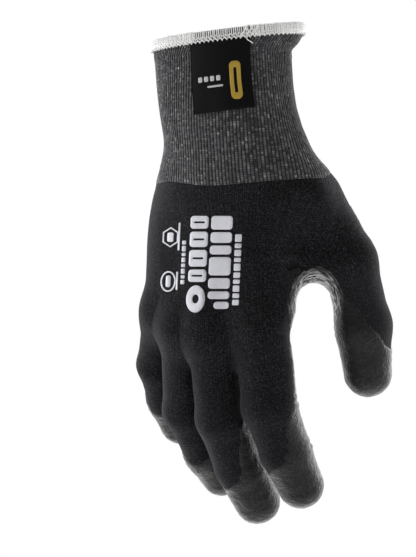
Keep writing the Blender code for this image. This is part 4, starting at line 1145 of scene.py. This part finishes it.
# ------------------------------------------------------------ threads
def tube_mesh(P, rad, sides, closed, twist=0.0, flat=1.0, up=None):
    """Tube along P (n,3); returns V, F (quads), UV.  Open ends are closed with flat caps."""
    n = len(P)
    T = np.roll(P, -1, 0) - np.roll(P, 1, 0) if closed else np.gradient(P, axis=0)
    T /= np.maximum(np.linalg.norm(T, axis=1), 1e-9)[:, None]
    up = np.array((0.0, 0.0, 1.0)) if up is None else up
    A = np.cross(T, up if up.ndim == 2 else up[None])
    bad = np.linalg.norm(A, axis=1) < 1e-3
    A[bad] = np.cross(T[bad], (1.0, 0.0, 0.0))
    A /= np.linalg.norm(A, axis=1)[:, None]
    B = np.cross(A, T)
    ang = np.arange(sides) * 2 * pi / sides
    rad = np.broadcast_to(np.asarray(rad, float), (n,))
    ca, sa = np.cos(ang), np.sin(ang) * flat
    V = P[:, None] + rad[:, None, None] * (ca[None, :, None] * A[:, None] + sa[None, :, None] * B[:, None])
    V = V.reshape(-1, 3)
    m = n if closed else n - 1
    i, j = np.meshgrid(np.arange(m), np.arange(sides), indexing='ij')
    i1, j1 = (i + 1) % n, (j + 1) % sides
    F = np.stack([i * sides + j, i * sides + j1, i1 * sides + j1, i1 * sides + j], -1).reshape(-1, 4)
    L = np.concatenate([[0], np.cumsum(np.linalg.norm(P[1:] - P[:-1], axis=1))])
    L1 = np.append(L, L[-1] + 0.3)
    uu = np.stack([j, j + 1, j + 1, j], -1).reshape(-1, 4) / sides
    vv = np.stack([L1[i], L1[i], L1[i + 1], L1[i + 1]], -1).reshape(-1, 4)
    UV = np.stack([uu, vv], -1)
    faces, uvs = [tuple(f) for f in F], [tuple(map(tuple, q)) for q in UV]
    if not closed:
        faces.append(tuple(reversed(range(sides))))
        faces.append(tuple((n - 1) * sides + k for k in range(sides)))
        uvs += [tuple((0.0, 0.0) for _ in range(sides))] * 2
    return V, faces, uvs


def volume(V, F):
    s = 0.0
    for f in F:
        for i in range(1, len(f) - 1):
            s += np.dot(V[f[0]], np.cross(V[f[i]], V[f[i + 1]]))
    return s / 6


class Bundle:
    """Many closed bodies gathered into one object."""

    def __init__(self):
        self.V, self.F, self.U, self.n = [], [], [], 0

    def add(self, V, F, U, check=True):
        if check and volume(V - V.mean(0), F[:]) < 0:
            F = [tuple(reversed(f)) for f in F]
            U = [tuple(reversed(q)) for q in U]
        self.V.append(V)
        self.F += [tuple(int(i) + self.n for i in f) for f in F]
        self.U += list(U)
        self.n += len(V)

    def build(self, name, material):
        V = np.vstack(self.V)
        ob = make(name, V, np.array(self.F + [None], dtype=object)[:-1], material)
        layer = ob.data.uv_layers.new(name='stitch')
        flat = [x for q in self.U for uv in q for x in uv]
        layer.data.foreach_set('uv', flat)
        return ob


RIMC = resample(ring_at(0.0), 1200)
RIMN = np.roll(RIMC, -1, 0) - np.roll(RIMC, 1, 0)
RIMT = RIMN / np.linalg.norm(RIMN, axis=1)[:, None]
RIMO = np.cross(RIMT, np.array((0.0, 0.0, 1.0)))
RIMO /= np.linalg.norm(RIMO, axis=1)[:, None]
if ((RIMC - RIMC.mean(0)) * RIMO).sum() < 0:
    RIMO = -RIMO
UPZ = np.array((0.0, 0.0, 1.0))
RIM_LEN = np.linalg.norm(np.roll(RIMC, -1, 0) - RIMC, axis=1).sum()


def rim_frame(s):
    """Point, outward, tangent at the arc length s along the opening."""
    q = (np.asarray(s, float) / RIM_LEN * 1200) % 1200
    i = np.floor(q).astype(int) % 1200
    f = (q - np.floor(q))[:, None]
    j = (i + 1) % 1200
    return RIMC[i] * (1 - f) + RIMC[j] * f, RIMO[i] * (1 - f) + RIMO[j] * f, RIMT[i] * (1 - f) + RIMT[j] * f


def hug(O, u):
    """Outward shift that keeps the hem on the flared cuff, u mm above the edge."""
    w_ = np.maximum(-np.asarray(u, float), 0.0) / 67.0
    return flare(O, w_) - flare(O, 0.0 * w_)


def hem_profile(q):
    """(outward, up) of the thread's centre line over the edge, q in 0..1."""
    # outside foot -> top -> inside foot
    w_out, w_in, foot = 1.25, -2.0, -4.1
    top = 0.55
    k = np.array([0, 0.10, 0.26, 0.40, 0.47, 0.53, 0.60, 0.74, 0.90, 1.0])
    o = np.array([0.75, w_out, w_out + 0.08, w_out, 0.35, -1.25, w_in, w_in - 0.08, w_in, -1.5])
    u = np.array([foot, foot + 0.7, foot * 0.5, -0.2, top, top, -0.2, foot * 0.5, foot + 0.7, foot])
    return np.interp(q, k, o), np.interp(q, k, u)


hem = Bundle()
# soft core under the threads
core_s = np.linspace(0, RIM_LEN, 360, endpoint=False)
P, O, T = rim_frame(core_s)
prof = [(0.56, -3.9), (0.98, -3.6), (1.08, -2.0), (1.02, -0.4), (0.55, 0.34), (-0.45, 0.56), (-1.35, 0.34), (-1.72, -0.4), (-1.80, -2.0), (-1.75, -3.6), (-1.42, -3.9), (-1.25, -2.0), (-1.2, -0.2), (0.22, -0.2), (0.30, -2.0)]
prof = np.array(prof)
hug_core = np.stack([hug(O, np.full(len(O), u_)) for u_ in prof[:, 1]], 1)
V = (P[:, None] + O[:, None] * (prof[None, :, 0] + hug_core)[..., None] + UPZ * prof[None, :, 1, None]).reshape(-1, 3)
k = len(prof)
F, U = [], []
for i in range(360):
    j = (i + 1) % 360
    for c_ in range(k):
        d_ = (c_ + 1) % k
        F.append((i * k + c_, i * k + d_, j * k + d_, j * k + c_))
        U.append(((c_ / k, i * 0.5), (c_ / k + 0.1, i * 0.5), (c_ / k + 0.1, i * 0.5 + 0.5), (c_ / k, i * 0.5 + 0.5)))
core = Bundle()
core.add(V, F, U)
core_ob = core.build('hem_rolled_edge', RIB)
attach(core_ob, 'cuff')
# wound thread
loops = int(round(RIM_LEN / 0.98))
rng = np.random.default_rng(7)
start_s = None
best = 1e9
for i in range(1200):      # the start of the seam lies beside the label, facing the back of the hand
    s_here = RIMC[i] @ RIGHT
    if RIMC[i] @ BACK > 0 and abs(s_here - 20.6) < best:
        best, start_s = abs(s_here - 20.6), i / 1200 * RIM_LEN
q = np.linspace(0, 1, 19)
for i in range(loops):
    s0 = i * RIM_LEN / loops + rng.normal(0, 0.07)
    o, u = hem_profile(q)
    slant = (q - 0.5) * 1.15
    s = s0 + slant
    P, O, T = rim_frame(s)
    wob = rng.normal(0, 0.05, 2)
    near = np.exp(-((((s0 - start_s + RIM_LEN / 2) % RIM_LEN) - RIM_LEN / 2) / 3.5) ** 2)
    o = np.where(o > -0.4, o + 0.25 * near, o) + wob[0] * np.sin(pi * q)
    u = u + wob[1] * 1.5 + np.where(q < 0.1, rng.normal(0, 0.12), 0)
    C = P + O * (o + hug(O, u))[:, None] + UPZ * u[:, None]
    to_label = ((s0 - start_s - 14.0 + RIM_LEN / 2) % RIM_LEN) - RIM_LEN / 2
    thin = 0.20 * step((15.5 - abs(to_label)) / 3.0)
    V, F, U = tube_mesh(C, 0.50 - thin + rng.normal(0, 0.02), 6, False, up=T.mean(0))
    hem.add(V, F, U)
# chained zig-zag thread along the lower edge, outside and inside
for outside, base_o in ((True, 1.28), (False, -2.05)):
    nz = int(round(RIM_LEN / 2.16))
    s = np.linspace(0, RIM_LEN, nz * 12, endpoint=False)
    ph2 = s / RIM_LEN * nz * 2 * pi
    P, O, T = rim_frame(s)
    tri = np.arcsin(np.sin(ph2) * 0.97) / (pi / 2)
    C = P + O * (hug(O, -4.05 + 0.85 * tri) + base_o + 0.22 * np.cos(ph2 * 1.0) * (1 if outside else -1) + 0.10)[:, None] + UPZ * (-4.05 + 0.85 * tri)[:, None] + T * (0.3 * np.sin(2 * ph2))[:, None]
    V, F, U = tube_mesh(C, 0.36, 6, True, up=O)
    hem.add(V, F, U)
    C = P + O * (hug(O, -2.7 + 0.34 * np.sin(ph2 + 1.2)) + base_o + 0.30 * (1 if outside else -1) + 0.10 * np.cos(ph2))[:, None] + UPZ * (-2.7 + 0.34 * np.sin(ph2 + 1.2))[:, None]
    if outside:
        V, F, U = tube_mesh(C, 0.26, 5, True, up=O)
        hem.add(V, F, U)
# crossing threads and a cut tail where the seam starts
for i, (ds, k_) in enumerate(((-1.6, 5.2), (-0.4, 5.8), (0.8, 5.0), (2.1, 5.5), (3.4, 4.6))):
    qq = np.linspace(0.05, 0.56, 18)
    o, u = hem_profile(qq)
    s = start_s + ds + (qq - 0.3) * k_ * (1 if i % 2 else -1) * 1.5
    P, O, T = rim_frame(s)
    C = P + O * (hug(O, u) + o + 0.60)[:, None] + UPZ * (u + 0.05)[:, None]
    V, F, U = tube_mesh(C, 0.42, 6, False, up=T.mean(0))
    hem.add(V, F, U)
P, O, T = rim_frame(np.array([start_s + 1.0]))
w = np.linspace(0, 1, 16)
tail = P[0] + O[0] * (1.6 + 0.7 * np.sin(w * 3.0))[:, None] + UPZ * (-3.7 - 4.2 * w)[:, None] + T[0] * (1.5 * np.sin(w * 4.2))[:, None]
V, F, U = tube_mesh(tail, 0.24, 6, False, up=T[0])
hem.add(V, F, U)
ob = hem.build('hem_overlock_threads', THREAD)
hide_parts('hem_overlock')
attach(ob, 'cuff')

# ------------------------------------------------------------ elastic yarn
yarn = Bundle()
nstep = 4 * 190
tt = np.arange(nstep + 1) / 190.0
zc = 98.0 - 7.0 * tt
cx, cy, _, _ = section_at(zc)
C = np.stack([cx, cy, zc], 1)
E = np.stack([np.sin(2 * pi * tt), -np.cos(2 * pi * tt), np.zeros_like(tt)], 1)
Rr = radius(sleeve_field, C, E, 60.0, 20)
mid_line = C + (Rr - WALL - 1.35)[:, None] * E
turn = 2 * pi * np.arange(nstep + 1) * 0.95 / 2.6
for s_ in (0, pi):
    P = mid_line + 0.24 * (np.cos(turn + s_)[:, None] * E + np.sin(turn + s_)[:, None] * UPZ)
    V, F, U = tube_mesh(P, 0.25, 6, False)
    yarn.add(V, F, U)
ob = yarn.build('elastic_yarn_plies', ELASTIC)
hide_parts('cuff_elastic_yarn')
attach(ob, 'cuff')

# ------------------------------------------------------------ label
LABEL_W, LABEL_H, ANG = 28.0, 32.0, radians(28.0)
LN_W, LN_H = 41, 49
grid = np.zeros((LN_H, LN_W, 3))
for r_ in range(LN_H):
    down = 3.4 + (LABEL_H + 2.0) * r_ / (LN_H - 1)
    ps = np.linspace(ANG - 0.9, ANG + 0.9, 121)
    D = np.stack([np.sin(ps), -np.cos(ps), np.zeros_like(ps)], 1)
    P0 = RIM_P - RIM_N * down
    C = np.repeat(P0[None], len(ps), 0)
    C[:, 0] += (section_at(C[:, 2])[0] - RIM_X) * 0.9
    D = D - (D @ RIM_N)[:, None] * RIM_N
    D /= np.linalg.norm(D, axis=1)[:, None]
    S = C + radius(sleeve_field, C, D, 60.0, 20)[:, None] * D
    arc = np.concatenate([[0], np.cumsum(np.linalg.norm(S[1:] - S[:-1], axis=1))])
    arc -= np.interp(ANG, ps, arc)
    wcol = -LABEL_W / 2 + LABEL_W * np.arange(LN_W) / (LN_W - 1) + 0.2 - 0.108 * down
    grid[r_] = np.stack([np.interp(wcol, arc, S[:, i]) for i in range(3)], 1)
gn = gradient(sleeve_field, grid.reshape(-1, 3), 0.4)
gn /= np.linalg.norm(gn, axis=1)[:, None]
gn = gn.reshape(grid.shape)
DOWNS = 3.4 + (LABEL_H + 2.0) * np.arange(LN_H) / (LN_H - 1)


def label_point(w, down, out):
    """Point on the label: w across in mm from the middle, down from the rim, out from the cuff."""
    a = np.clip((np.asarray(w) + LABEL_W / 2) / LABEL_W * (LN_W - 1), 0, LN_W - 1.0001)
    b = np.clip((np.asarray(down) - DOWNS[0]) / (DOWNS[-1] - DOWNS[0]) * (LN_H - 1), 0, LN_H - 1.0001)
    i, j = np.floor(b).astype(int), np.floor(a).astype(int)
    fb, fa = (b - i)[..., None], (a - j)[..., None]

    def lerp(A):
        return (A[i, j] * (1 - fa) + A[i, j + 1] * fa) * (1 - fb) + (A[i + 1, j] * (1 - fa) + A[i + 1, j + 1] * fa) * fb
    n_ = lerp(gn)
    over = np.maximum(np.asarray(down) - DOWNS[-1], 0)
    return lerp(grid) - RIM_N * over[..., None] + n_ * np.asarray(out)[..., None]


def label_lift(w, down):
    """The free end stands off a little and the corners curl."""
    g = np.clip((down - 8.0) / 28.0, 0, 1)
    return 0.55 * g * g + 0.5 * g ** 3 * (np.abs(w) / 14.0) ** 4 + 0.12 * np.sin(w * 0.45 + 1.0) * g


lab_low = 5.4 + LABEL_H - 0.4
th_r = 0.19
path = []
for dwn in np.linspace(3.5, lab_low - 0.9, 40):
    path.append((dwn, 1.62))
for a_ in np.linspace(0, pi, 9)[1:-1]:
    path.append((lab_low - 0.9 + 0.9 * sin(a_) * 0.9, 1.62 - 0.36 * (1 - cos(a_)) * 1.0))
for dwn in np.linspace(lab_low - 0.9, 3.5, 40):
    path.append((dwn, 0.90))
path = np.array(path)
tan_ = np.gradient(path, axis=0)
tan_ /= np.linalg.norm(tan_, axis=1)[:, None]
nrm_ = np.stack([-tan_[:, 1], tan_[:, 0]], 1)     # points away from the cuff on the front layer
WC = 49
wv = np.linspace(-14.0, 14.0, WC)
outer_p, inner_p = path + nrm_ * th_r, path - nrm_ * th_r
loopP = np.vstack([outer_p, inner_p[::-1]])
nl = len(loopP)
lift_front = np.array([1.0] * len(loopP))
Wg, Lg = np.meshgrid(wv, np.arange(nl), indexing='ij')
dn, ot = loopP[Lg][..., 0], loopP[Lg][..., 1]
share = np.clip((ot - 0.7) / 0.9, 0.25, 1.0)
V = label_point(Wg, dn, ot + label_lift(Wg, dn) * share).reshape(-1, 3)
F, U = [], []
for a_ in range(WC - 1):
    for b_ in range(nl):
        b2 = (b_ + 1) % nl
        F.append((a_ * nl + b_, a_ * nl + b2, (a_ + 1) * nl + b2, (a_ + 1) * nl + b_))
        y0, y1 = loopP[b_][0], loopP[b2][0]
        U.append(((wv[a_], y0), (wv[a_], y1), (wv[a_ + 1], y1), (wv[a_ + 1], y0)))
half = nl // 2
for a_, flip in ((0, False), (WC - 1, True)):
    for b_ in range(half - 1):
        f_ = (a_ * nl + b_, a_ * nl + b_ + 1, a_ * nl + nl - 2 - b_, a_ * nl + nl - 1 - b_)
        F.append(f_ if not flip else tuple(reversed(f_)))
        U.append(((0, 0),) * 4)
lab = Bundle()
lab.add(V, F, U)
label = lab.build('label_ribbon', RIBBON)
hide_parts('label_folded')


# raised woven motif: generic shapes only
def conform(shape, mapper, top, bottom, pitch):
    """Closed thin body over a flat outline.  shape: list of loops (first is
    outer, rest are holes) in flat millimetres; mapper(x, y, height) -> point."""
    bm = bmesh.new()
    bm_loops = []
    edges = []
    for lp in shape:
        vs = [bm.verts.new((x, y, 0.0)) for x, y in lp]
        es = [bm.edges.new((vs[i], vs[(i + 1) % len(vs)])) for i in range(len(vs))]
        edges += es
    bmesh.ops.triangle_fill(bm, use_beauty=True, edges=edges, normal=(0, 0, 1))
    xs = [v.co.x for v in bm.verts]
    ys = [v.co.y for v in bm.verts]
    for axis, lo_, hi_ in ((0, min(xs), max(xs)), (1, min(ys), max(ys))):
        x = lo_ + pitch * 0.5
        while x < hi_:
            nv = (1, 0, 0) if axis == 0 else (0, 1, 0)
            pv = (x, 0, 0) if axis == 0 else (0, x, 0)
            bmesh.ops.bisect_plane(bm, geom=bm.verts[:] + bm.edges[:] + bm.faces[:], dist=1e-5, plane_co=pv, plane_no=nv)
            x += pitch
    bmesh.ops.dissolve_degenerate(bm, dist=1e-4, edges=bm.edges[:])
    bmesh.ops.triangulate(bm, faces=[f for f in bm.faces if len(f.verts) > 4])
    for f in bm.faces:
        if f.normal.z < 0:
            f.normal_flip()
    bm.verts.index_update()
    XY = np.array([(v.co.x, v.co.y) for v in bm.verts])
    faces = [tuple(v.index for v in f.verts) for f in bm.faces]
    rim = [(e.link_loops[0].vert.index, e.link_loops[0].link_loop_next.vert.index) for e in bm.edges if len(e.link_faces) == 1]
    bm.free()
    n_ = len(XY)
    edge_v = {i for e in rim for i in e}
    tops = np.array([top * (0.55 if i in edge_v else 1.0) for i in range(n_)])
    Vt = mapper(XY[:, 0], XY[:, 1], tops)
    Vb = mapper(XY[:, 0], XY[:, 1], np.full(n_, bottom))
    Fs = list(faces) + [tuple(i + n_ for i in reversed(f)) for f in faces]
    Fs += [(b, a, a + n_, b + n_) for a, b in rim]
    XYd = np.vstack([XY, XY])
    Us = [tuple((XYd[i][0], XYd[i][1]) for i in f) for f in Fs]
    return np.vstack([Vt, Vb]), Fs, Us


def rounded(x0, y0, x1, y1, r_, n_=6):
    r_ = min(r_, (x1 - x0) / 2 - 1e-3, (y1 - y0) / 2 - 1e-3)
    pts = []
    for cx_, cy_, a0 in ((x1 - r_, y1 - r_, 0), (x0 + r_, y1 - r_, 90), (x0 + r_, y0 + r_, 180), (x1 - r_, y0 + r_, 270)):
        for k_ in range(n_ + 1):
            a_ = radians(a0 + 90 * k_ / n_)
            pts.append((cx_ + r_ * cos(a_), cy_ + r_ * sin(a_)))
    return pts


def disc(cx_, cy_, rx, ry, n_=36, start=0.0):
    return [(cx_ + rx * cos(start + 2 * pi * k_ / n_), cy_ + ry * sin(start + 2 * pi * k_ / n_)) for k_ in range(n_)]


def ribbon_map(x, y, h):
    return label_point(x, y, 1.62 + th_r + h + label_lift(x, y))


def motif(name, shapes, material, mapper, top, bottom, pitch):
    B = Bundle()
    for s_ in shapes:
        V, F, U = conform(s_, mapper, top, bottom, pitch)
        B.add(V, F, U, check=False)
    ob = B.build(name, material)
    bm = bmesh.new()
    bm.from_mesh(ob.data)
    bmesh.ops.recalc_face_normals(bm, faces=bm.faces[:])
    bm.to_mesh(ob.data)
    bm.free()
    return ob


gold = [[rounded(4.4, 14.8, 9.4, 32.6, 2.2), rounded(6.2, 17.8, 7.6, 29.6, 0.6)]]
grey = [[rounded(-10.4 + 2.9 * i, 20.6, -8.5 + 2.9 * i, 23.0, 0.5)] for i in range(4)]
grey += [[rounded(-6.2, 25.0, 1.2, 25.9, 0.4)]]
parts = [label]
for nm, shp, mt in (('label_motif_gold', gold, GOLD), ('label_motif_grey', grey, PALE)):
    ob = motif(nm, shp, mt, ribbon_map, 0.10, -0.12, 1.1)
    parts.append(ob)
lp, la = joint_of('label_flap')
for ob in parts:
    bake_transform(ob)

# ------------------------------------------------------------ print on the back
tree = BVHTree.FromPolygons([tuple(v) for v in KV], [tuple(int(i) for i in q) for q in HQ])
EYE = BACK * 1700.0


def film_map(x, y, h):
    """Flat drawing (across, up) seen from the viewing side -> point on the fabric."""
    out = np.zeros((len(x), 3))
    for i in range(len(x)):
        target = RIGHT * x[i] + UPZ * y[i]
        d = Vector(target - EYE).normalized()
        hit, nrm, _, _ = tree.ray_cast(Vector(EYE), d)
        if hit is None:
            out[i] = target
            continue
        q_ = np.array(hit)
        out[i] = q_
    g_ = gradient(hand_field, out, 0.4)
    g_ /= np.maximum(np.linalg.norm(g_, axis=1), 1e-9)[:, None]
    return out + g_ * np.asarray(h)[:, None]


def lean(loop, k_=-0.045, z0=0.0):
    """The print leans slightly with the hand."""
    return [(x + (y - z0) * -k_, y) for x, y in loop]


def band(x0, x1, y1, heights, gap, r_):
    out_, y = [], y1
    for h_ in heights:
        out_.append(rounded(x0, y - h_, x1, y, r_))
        y -= h_ + gap
    return out_


main = []
# right column: plain bars of different heights
y = 29.4
for i, (h_, x0_) in enumerate(((6.4, 0.4), (5.0, 0.4), (4.2, 0.3), (8.6, 0.2), (5.0, 0.2), (3.6, 0.2), (3.4, 3.2))):
    main.append([lean(rounded(x0_, y - h_, 10.4, y, 1.5))])
    y -= h_ + 1.25
# left column: blocks with a groove, over a washer
for y0_, y1_ in ((23.4, 29.4), (14.8, 22.0), (5.6, 13.4), (-1.6, 4.2)):
    main.append([lean(rounded(-9.3, y0_, -0.9, y1_, 1.5)), lean(rounded(-7.6, (y0_ + y1_) / 2 - 0.45, -2.6, (y0_ + y1_) / 2 + 0.45, 0.4))])
main.append([lean(disc(-5.4, -9.6, 4.4, 6.4)), lean(disc(-5.4, -9.6, 1.5, 2.1))])
# narrow bar of short blocks beside the columns
y = 20.8
for i, h_ in enumerate((3.6, 2.2, 3.0, 2.0, 3.4, 2.6, 2.0, 3.0, 2.2, 2.6)):
    main.append([lean(rounded(11.9, y - h_, 15.0, y, 0.5))])
    y -= h_ + 0.75
side = []
y = 17.8
for i, h_ in enumerate((1.8, 2.6, 1.6, 2.2, 1.7, 2.4, 1.6, 2.0)):
    side.append([lean(rounded(-12.8, y - h_, -11.0, y, 0.35))])
    y -= h_ + 0.65
side.append([lean(disc(-18.4, 19.4, 4.2, 4.8, 6, radians(30))), lean(disc(-18.4, 19.4, 3.5, 4.1, 6, radians(30)))])
side.append([lean(rounded(-19.9, 17.2, -17.0, 21.6, 0.8))])
side.append([lean(rounded(-14.8, 13.2, -14.0, 26.2, 0.3))])
side.append([lean(disc(-18.6, -1.4, 3.6, 4.9)), lean(disc(-18.6, -1.4, 2.9, 4.2))])
side.append([lean(rounded(-19.7, -4.0, -17.5, 1.4, 0.8))])
side.append([lean(rounded(-14.9, -5.4, -14.1, 3.2, 0.3))])
for nm, shp, node in (('print_main_film', main, 'back_print_main'), ('print_side_film', side, 'back_print_side')):
    ob = motif(nm, shp, PRINT, film_map, 0.17, -0.15, 1.6)
    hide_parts(node)
    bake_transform(ob)

# ------------------------------------------------------------ stage, light, camera
floor_mat = Mat('pale_floor')
grain = floor_mat.noise(floor_mat.coords(), 3.0, 4.0, 0.5)
floor_mat.put(floor_mat.b.inputs['Base Color'], floor_mat.ramp(grain, (0.3, (0.80, 0.80, 0.80)), (0.7, (0.86, 0.86, 0.86))))
set_inputs(floor_mat.b, Roughness=0.75)
me = bpy.data.meshes.new('pale_floor')
bm = bmesh.new()
bmesh.ops.create_circle(bm, cap_ends=True, radius=3.0, segments=96)
bm.to_mesh(me)
bm.free()
me.materials.append(floor_mat.m)
floor = bpy.data.objects.new('pale_floor', me)
floor.location = (0.0, 0.0, -0.32)
bpy.context.scene.collection.objects.link(floor)

world = bpy.data.worlds.new('studio')
bpy.context.scene.world = world
world.use_nodes = True
wn = world.node_tree
bg = wn.nodes['Background']
bg.inputs['Color'].default_value = (1.0, 1.0, 1.0, 1.0)
geo = wn.nodes.new('ShaderNodeNewGeometry')
dot = wn.nodes.new('ShaderNodeVectorMath')
dot.operation = 'DOT_PRODUCT'
wn.links.new(geo.outputs['Incoming'], dot.inputs[0])
dot.inputs[1].default_value = tuple(BACK)
span = wn.nodes.new('ShaderNodeMapRange')
span.interpolation_type = 'SMOOTHSTEP'
for k_, v_ in (('From Min', -0.05), ('From Max', 0.97), ('To Min', 0.37), ('To Max', 2.6)):
    span.inputs[k_].default_value = v_
wn.links.new(dot.outputs['Value'], span.inputs['Value'])
wn.links.new(span.outputs[0], bg.inputs['Strength'])
bg2 = wn.nodes.new('ShaderNodeBackground')
bg2.inputs['Color'].default_value = (1.0, 1.0, 1.0, 1.0)
bg2.inputs['Strength'].default_value = 1.0
lp_ = wn.nodes.new('ShaderNodeLightPath')
mx = wn.nodes.new('ShaderNodeMixShader')
wn.links.new(lp_.outputs['Is Camera Ray'], mx.inputs[0])
wn.links.new(bg.outputs[0], mx.inputs[1])
wn.links.new(bg2.outputs[0], mx.inputs[2])
wn.links.new(mx.outputs[0], wn.nodes['World Output'].inputs['Surface'])

AIM = Vector((SHIFT * 0.001).tolist())


def softbox(name, az, el, dist, size, power):
    a, e = radians(az), radians(el)
    d = Vector((sin(a) * cos(e), -cos(a) * cos(e), sin(e)))
    L = bpy.data.lights.new(name, 'AREA')
    L.shape = 'RECTANGLE'
    L.size, L.size_y = size
    L.energy = power
    o = bpy.data.objects.new(name, L)
    o.location = AIM + d * dist
    o.rotation_mode = 'QUATERNION'
    o.rotation_quaternion = d.to_track_quat('Z', 'Y')
    bpy.context.scene.collection.objects.link(o)


softbox('key_left', 32 - 90, 18, 1.3, (0.7, 1.2), 11.5)
softbox('fill_right', 32 + 74, 12, 1.5, (0.8, 1.2), 7.0)
softbox('rim_left', 32 - 128, 14, 1.3, (0.7, 1.3), 10.0)
softbox('under', 32 + 180, -62, 0.42, (0.5, 0.5), 1.1)
softbox('rim_right', 32 + 128, 14, 1.3, (0.7, 1.3), 13.0)

cam_data = bpy.data.cameras.new('camera')
cam_data.sensor_width = 36.0
cam_data.lens = 3621.0 / 557.0 * 36.0
cam_data.clip_start, cam_data.clip_end = 0.05, 50.0
cam = bpy.data.objects.new('camera', cam_data)
back_v = Vector(BACK.tolist())
cam.location = AIM + back_v * 1.7
cam.rotation_mode = 'QUATERNION'
cam.rotation_quaternion = (-back_v).to_track_quat('-Z', 'Y')
bpy.context.scene.collection.objects.link(cam)
bpy.context.scene.camera = cam
bpy.context.scene.view_settings.view_transform = 'Standard'

# every carried-over solid that still shows gets a woven finish of its own
for name, ob in frame['nodes'].items():
    if not ob.hide_render:
        ob.data.materials.clear()
        ob.data.materials.append(KNIT)

bpy.context.view_layer.update()
